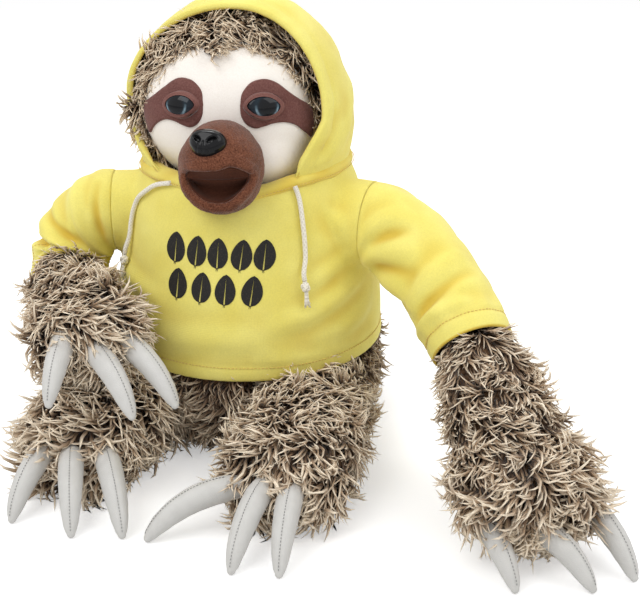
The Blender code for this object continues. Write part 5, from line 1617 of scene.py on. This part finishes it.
# snout: one plush skin round the open mouth, with a rolled lip and a dark lining that folds at the hinge
snout = {
    "centre": (0.0014, -0.0790, 0.2108), "half": (0.0280, 0.0345, 0.0302),
    "mouth": ((-0.0193, -0.0250, 0.0002), (-0.0160, -0.0280, 0.0040), (-0.0110, -0.0307, 0.0056),
              (-0.0030, -0.0331, 0.0062), (0.0050, -0.0332, 0.0068), (0.0129, -0.0290, 0.0085),
              (0.0185, -0.0245, 0.0064), (0.0235, -0.0175, 0.0022), (0.0252, -0.0145, -0.0010),
              (0.0235, -0.0173, -0.0063), (0.0180, -0.0228, -0.0117), (0.0118, -0.0250, -0.0165),
              (0.0051, -0.0256, -0.0195), (-0.0025, -0.0272, -0.0178), (-0.0080, -0.0280, -0.0148),
              (-0.0135, -0.0275, -0.0108), (-0.0180, -0.0255, -0.0050)),
    "mouthScale": (1.19, 1.03), "mouthMiddle": (0.0030, -0.0056), "chin": 1.045, "jowl": 0.18,
    "lipRound": 0.031, "lipFull": (0.0014, 0.0025, 0.0040), "lipHollow": (0.0006, 0.0100, 0.0035),
    "lining": 12, "liningSides": (-0.0185, 0.0225), "rear": 140.0, "rings": 34, "spokes": 112, "lip": 0.0025,
    "hinge": (-0.0220, 0.22, -0.0012, -0.0022), "bendFrom": 0.0105, "bendTo": 0.0180, "bendWay": (0.0, -0.45, -0.89),
}


def makeSnout(v):
    centre, half = Vector(v["centre"]), Vector(v["half"])

    def unit(p):
        return Vector([p[i] / half[i] for i in range(3)]).normalized()

    def onSnout(u):
        rel = Vector([u[i] * half[i] for i in range(3)])
        normal = Vector([rel[i] / half[i] ** 2 for i in range(3)]).normalized()
        if rel.z < 0:  # the chin hangs lower and rounder
            rel.z *= v["chin"]
            rel.x *= 1 + v["jowl"] * u.z * u.z
        return centre + rel, normal

    wide, high = v["mouthMiddle"]
    mouth = [(wide + (x - wide) * v["mouthScale"][0], y, high + (z - high) * v["mouthScale"][1])
             for x, y, z in v["mouth"]]
    loop = throughPoints((*mouth, mouth[0]), 12)[:-1]
    lengths = np.cumsum([0] + [(b - a).length for a, b in zip(loop, loop[1:] + loop[:1])])
    edge = []
    for j in range(v["spokes"]):
        at = lengths[-1] * j / v["spokes"]
        k = min(int(np.searchsorted(lengths, at, side="right")) - 1, len(loop) - 1)
        t = (at - lengths[k]) / (lengths[k + 1] - lengths[k])
        edge.append(unit(loop[k].lerp(loop[(k + 1) % len(loop)], t)))
    middle = sum(edge, Vector()).normalized()
    side, lift = squareTo(middle)
    back = math.radians(v["rear"])
    spokes = []
    for u in edge:
        out = (u - middle * u.dot(middle)).normalized()
        begin = (u + out * (v["lip"] / v["lipRound"])).normalized()
        turn = math.atan2(out.dot(lift), out.dot(side))
        rear = Vector((math.sin(back) * math.cos(turn), -math.cos(back), math.sin(back) * math.sin(turn)))
        spokes.append((u, begin, rear, out))
    rows, lining = [], []
    (swell, swellAt, swellWidth), (hollow, hollowAt, hollowWidth) = v["lipFull"], v["lipHollow"]
    for i in range(v["rings"] + 1):
        share = 1 - i / v["rings"]
        row = []
        for u, begin, rear, out in spokes:
            spot, normal = onSnout(begin.slerp(rear, share ** 1.15))
            far = (spot - onSnout(begin)[0]).length
            full = easeBetween(0.004, -0.010, (onSnout(begin)[0] - centre).z)
            row.append(spot + normal * (swell * full * math.exp(-((far - swellAt) / swellWidth) ** 2)
                                        - hollow * math.exp(-((far - hollowAt) / hollowWidth) ** 2)))
        rows.append(row)
    for angle in (25, 50, 75, 100, 130, 160):
        a = math.radians(angle)
        row = []
        for base, (u, begin, rear, out) in zip(rows[v["rings"]], spokes):
            normal = onSnout(begin)[1]
            inward = onSnout(u)[0] - onSnout(begin)[0]
            inward = (inward - normal * inward.dot(normal)).normalized()
            row.append(base + inward * (v["lip"] * math.sin(a))
                       - normal * (v["lip"] * 1.1 * (1 - math.cos(a))))
        rows.append(row)
    y, slope, z, dip = v["hinge"]
    left, right = v["liningSides"]
    for i in range(v["lining"]):
        row = []
        for start, (u, begin, rear, out) in zip(rows[-2], spokes):
            rel = start - centre
            x = min(max(rel.x * 0.97, left), right)
            goal = centre + Vector((x, y + slope * (x - left), z + dip * (1 - ((x - 0.002) / 0.0215) ** 2)))
            t = min(i / 10, 1.0)
            low = easeBetween(0.0, -0.010, rel.z)
            tuck = Vector((0.0, 0.004, 0.0)) * (i > 10)
            row.append(start.lerp(goal, t) + Vector((0.0, 0.010, -0.004)) * (low * math.sin(math.pi * t))
                       + tuck)
        lining.append(row)
    skin = gridPiece("snout", rows, snoutPlush, uvSize=(0.16, 0.08))
    coords = coordsOf(skin)
    setCoords(skin, coords + normalsOf(skin) * (softWaves(coords, 0.0009, 0.016, 6)
                                                + softWaves(coords, 0.0003, 0.0035, 8))[:, None])
    inside = gridPiece("mouthLining", lining, mouthLining, uvSize=(0.14, 0.03))
    giveWall(skin, 0.0012)
    giveWall(inside, 0.0006)
    for piece, slot, nodes in ((skin, "muzzle", ("muzzle", "lower_jaw")),
                               (inside, "palate", ("palate", "mouth_floor"))):
        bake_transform(piece)
        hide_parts(*nodes)


makeSnout(snout)


# nose: a moulded button, wide at the top, with comma nostrils and grooves below them
noseLook = {
    "heading": -96.5, "pitch": 43.0, "half": (0.0122, 0.0098), "bulge": 0.0085, "seat": 0.0020,
    "rings": 46, "spokes": 112, "nostril": (0.0046, -0.0004), "nostrilSize": (0.0026, 0.0015),
    "depth": 0.0026, "corner": 0.86, "tailAt": (0.0021, 0.0016), "tailSize": (0.0016, 0.0010),
    "groove": 0.0008, "sideGroove": 0.0005, "grooveWidth": 0.0006,
}


def makeNose(v):
    facing = direction(v["heading"], v["pitch"])
    half = Vector(snout["half"])
    stretch = math.sqrt(sum((facing[i] / half[i]) ** 2 for i in range(3)))
    base = Vector(snout["centre"]) + facing / stretch - facing * v["seat"]
    across, lift = squareTo(facing)
    rows = []
    for i in range(v["rings"] + 1):
        s = max(i / v["rings"], 0.003)
        row = []
        for j in range(v["spokes"]):
            a = math.tau * j / v["spokes"]
            x = abs(math.cos(a)) ** v["corner"] * math.copysign(s, math.cos(a))
            y = abs(math.sin(a)) ** v["corner"] * math.copysign(s, math.sin(a))
            x *= 1 + (0.06 if y > 0 else 0.26) * y
            high = v["bulge"] * (1 - s ** 3.2) ** 0.5
            high += 0.0008 * math.exp(-((y - 0.42) / 0.28) ** 2) * (1 - s ** 4)
            px, py = x * v["half"][0], y * v["half"][1]
            wide = abs(px) - v["nostril"][0]
            rise = py - v["nostril"][1]
            # the comma's head, and its tail that runs up and out
            turned, stood = wide * 0.82 + rise * 0.57, rise * 0.82 - wide * 0.57
            gap = math.hypot(turned / v["nostrilSize"][0], stood / v["nostrilSize"][1])
            (tailX, tailY), (tailWide, tailHigh) = v["tailAt"], v["tailSize"]
            tail = math.hypot((wide - tailX) / tailWide, (rise - tailY) / tailHigh)
            high -= v["depth"] * math.exp(-gap ** 4) + v["depth"] * 0.5 * math.exp(-tail ** 4)
            below = easeBetween(-0.0008, -0.0030, py)
            high -= v["groove"] * math.exp(-(px / v["grooveWidth"]) ** 2) * below
            aside = abs(px) - 0.0032 + (py + 0.004) * 0.25
            high -= v["sideGroove"] * math.exp(-(aside / v["grooveWidth"]) ** 2) * below
            row.append(base + across * px + lift * py + facing * high)
        rows.append(row)
    rows.append([p - facing * 0.0035 for p in rows[-1]])
    piece = gridPiece("nose", rows, noseGloss, uvSize=(0.06, 0.02), capEnds=(True, True))
    settle(piece, "head", "nose", "nose")


makeNose(noseLook)
print("face made")


# claws: curved horns of coated cloth with a stitched seam down the back
claws = {
    "length": 0.060, "root": 0.010, "width": 0.0085, "depth": 0.0090, "tip": 0.0027, "taper": 2.9,
    "stations": 30, "sides": 24,
    "left_hand": (((0.2099, -0.2218, 0.0032), -57.0, 10.0, -54.0),
                  ((0.2549, -0.2139, 0.0032), -36.0, 10.0, -54.0),
                  ((0.2798, -0.1978, 0.0032), -52.0, 10.0, -54.0)),
    "right_hand": (((-0.0900, -0.1810, 0.0780), -86.0, 2.0, -54.0),
                   ((-0.0376, -0.1731, 0.0700), -44.0, 2.0, -54.0),
                   ((-0.0139, -0.1566, 0.0720), -35.0, 2.0, -54.0)),
    "left_foot": (((-0.0198, -0.2076, 0.0032), -149.0, 8.0, -52.0),
                  ((0.0405, -0.2326, 0.0032), -100.0, 8.0, -58.0),
                  ((0.0697, -0.2312, 0.0032), -88.0, 8.0, -58.0)),
    "right_foot": (((-0.1134, -0.2018, 0.0032), -100.0, 8.0, -58.0),
                   ((-0.0693, -0.2118, 0.0032), -72.0, 8.0, -58.0),
                   ((-0.0370, -0.2072, 0.0032), -62.0, 8.0, -58.0)),
}


def clawPath(tip, heading, rootPitch, tipPitch):
    count = claws["stations"]
    step = (claws["length"] + claws["root"]) / count
    ways = [direction(heading, rootPitch + (tipPitch - rootPitch) * i / count) for i in range(count + 1)]
    spots = [Vector(tip)]
    for way in reversed(ways[:-1]):
        spots.append(spots[-1] - way * step)
    return list(zip(reversed(spots), ways))


def makeClaw(name, node, path, body):
    v = claws
    rows, seam = [], []
    for i, (spot, way) in enumerate(path):
        share = i / v["stations"]
        side, lift = squareTo(way)
        taper = (1.0 - share ** v["taper"]) ** 0.7 * easeBetween(-0.6, 0.30, share)
        width = v["tip"] + (v["width"] - v["tip"]) * taper
        deep = v["tip"] + (v["depth"] - v["tip"]) * taper
        rows.append(ringAt(spot, side, lift, width, deep, v["sides"]))
        if 0.16 < share < 0.97:
            seam.append(spot + lift * (deep + 0.0001))
    spot, way = path[-1]
    side, lift = squareTo(way)
    for angle in (25, 50, 72):
        a = math.radians(angle)
        rows.append(ringAt(spot + way * (v["tip"] * math.sin(a)), side, lift, v["tip"] * math.cos(a),
                           v["tip"] * math.cos(a), v["sides"]))
    piece = gridPiece(name, rows, clawCloth, uvSize=(0.045, 0.07), capEnds=(True, True))
    coords = coordsOf(piece)
    seamLine = np.array([tuple(p) for p in seam])
    gap = np.min(np.linalg.norm(coords[:, None, :] - seamLine[None], axis=2), axis=1)
    dent = -0.00035 * np.exp(-(gap / 0.0012) ** 2) + softWaves(coords, 0.00025, 0.006, len(name))
    setCoords(piece, coords + normalsOf(piece) * dent[:, None])
    settle(piece, body, node, node)
    return seam


for limb, body in (("left_hand", "left_forearm"), ("right_hand", "right_forearm"),
                   ("left_foot", "left_leg"), ("right_foot", "right_leg")):
    word, part = limb.split("_")
    runs = []
    for number, values in enumerate(claws[limb], 1):
        node = f"{limb}_claw_{number}"
        runs.append(makeClaw(f"{word}{part.capitalize()}Claw{number}", node, clawPath(*values), body))
    stitchRow(f"{word}{part.capitalize()}ClawStitches", runs, threadGrey, body, f"{limb}_claw_1",
              spacing=0.0021, length=0.0011, radius=0.00022)
print("claws made")


# a plain leaf print on the chest: two rows of broad leaves, each split by its midrib
printArea = {
    "rows": (
        {"start": (-0.0320, 0.1432), "end": (0.0300, 0.1412), "leaves": 5, "size": 0.0208},
        {"start": (-0.0300, 0.1192), "end": (0.0220, 0.1175), "leaves": 4, "size": 0.0208},
    ),
    "lift": 0.00035, "stem": 0.0020, "steps": 18, "width": 0.0071, "rib": 0.00050,
    "leans": (86.0, 84.0, 87.0, 83.0, 86.0),
}


def leafHalf(base, heading, length, width, side, points, faces):
    # one half of a leaf, as a strip between its rib and its curved edge
    way = Vector((math.cos(heading), math.sin(heading)))
    out = Vector((-way.y, way.x)) * side
    first = len(points)
    steps = printArea["steps"]
    for i in range(steps + 1):
        t = i / steps
        full = width * math.sin(math.pi * t ** 0.82) ** 0.62
        rib = printArea["rib"] * (1 - t) if 0.0 < t < 0.86 else 0.0
        for share in (0.0, 0.5, 1.0):
            spot = base + way * (length * t) + out * (rib + (max(full, rib) - rib) * share + 0.00002 * share)
            points.append(onCloth(spot.x, spot.y, printArea["lift"]))
    for i in range(steps):
        for j in (0, 1):
            a = first + i * 3 + j
            quad = (a, a + 1, a + 4, a + 3)
            faces.append(quad if side < 0 else quad[::-1])


def makePrint():
    points, faces = [], []
    for row in printArea["rows"]:
        a, b = Vector(row["start"]), Vector(row["end"])
        for i in range(row["leaves"]):
            base = a.lerp(b, i / (row["leaves"] - 1))
            heading = math.radians(printArea["leans"][i])
            foot = base - Vector((math.cos(heading), math.sin(heading))) * printArea["stem"]
            for side in (1, -1):
                leafHalf(base, heading, row["size"], printArea["width"], side, points, faces)
                leafHalf(foot, heading, printArea["stem"] * 1.4, 0.0006, side, points, faces)
    piece = meshPiece("chestPrint", points, faces, inkBlack)
    if sum(f.normal.y for f in piece.data.polygons) > 0:
        piece.data.flip_normals()
    settle(piece, "torso", "hoodie_body")
    return piece


makePrint()
print("print made")


# hidden fixings keep their own forms and take a moulded finish
fixing = startMaterial("fixingPlastic", Roughness=0.5)
fixingPlace = spotOf(fixing[1])
fixingGrain = noiseAt(fixing[1], fixingPlace, 500.0)
fixing[1].links.new(blendColours(fixing[1], fixingGrain.outputs["Fac"], (0.55, 0.55, 0.53),
                                 (0.72, 0.72, 0.70)),
                    fixing[2].inputs["Base Color"])
for node in ("eye_left_washer", "eye_right_washer", "nose_washer"):
    washer = frame["nodes"][node]
    washer.data.materials.clear()
    washer.data.materials.append(fixing[0])


# studio: pale floor, soft lamps and a plain world
studio = {
    "world": 0.62, "floor": (0.86, 0.86, 0.86), "floorGlow": 0.42,
    "lamps": (
        # place, watts, width, height
        ((-0.55, -0.75, 1.25), 8.4, 0.9, 0.9),
        ((0.95, -0.25, 1.05), 4.4, 0.8, 0.8),
        ((0.10, 0.75, 1.30), 2.4, 0.9, 0.9),
        ((-0.26, 0.62, 1.30), 3.0, 0.60, 0.16),
    ),
}


def makeStudio(v):
    world = bpy.data.worlds.new("studio")
    scene.world = world
    world.use_nodes = True
    tree = world.node_tree
    tree.nodes.clear()
    path = put(tree, "ShaderNodeLightPath").outputs
    seen = sumOf(tree, "MAXIMUM", path["Is Camera Ray"], path["Is Glossy Ray"])
    seen = sumOf(tree, "MAXIMUM", seen.outputs[0], path["Is Transmission Ray"])
    strength = spread(tree, seen.outputs[0], 0.0, 1.0, v["world"], 1.0)
    sky = put(tree, "ShaderNodeBackground", {"Color": (1, 1, 1, 1), "Strength": strength.outputs[0]})
    put(tree, "ShaderNodeOutputWorld", {"Surface": sky.outputs[0]})
    material, tree, shader = startMaterial("floorPaper", Roughness=0.95, Specular_IOR_Level=0.0)
    place = spotOf(tree)
    tooth = noiseAt(tree, place, 300.0)
    tree.links.new(blendColours(tree, tooth.outputs["Fac"], v["floor"], tuple(c + 0.01 for c in v["floor"])),
                   shader.inputs["Base Color"])
    shader.inputs["Emission Color"].default_value = (1, 1, 1, 1)
    path = put(tree, "ShaderNodeLightPath").outputs
    glow = sumOf(tree, "MULTIPLY", path["Is Camera Ray"], v["floorGlow"])
    tree.links.new(glow.outputs[0], shader.inputs["Emission Strength"])
    size = 6.0
    floor = meshPiece("floor", [(-size, -size, 0), (size, -size, 0), (size, size, 0), (-size, size, 0)],
                      [(0, 1, 2, 3)], material, smooth=False)
    for number, (place, watts, size, tall) in enumerate(v["lamps"]):
        data = bpy.data.lights.new(f"softbox{number}", "AREA")
        data.energy = watts
        data.shape = "RECTANGLE"
        data.size, data.size_y = size, tall
        lamp = bpy.data.objects.new(f"softbox{number}", data)
        lamp.location = place
        lamp.rotation_euler = (Vector((0.05, -0.08, 0.12)) - Vector(place)).to_track_quat("-Z",
                                                                                          "Y").to_euler()
        scene.collection.objects.link(lamp)


makeStudio(studio)
scene.view_settings.view_transform = "Standard"
print("studio made")
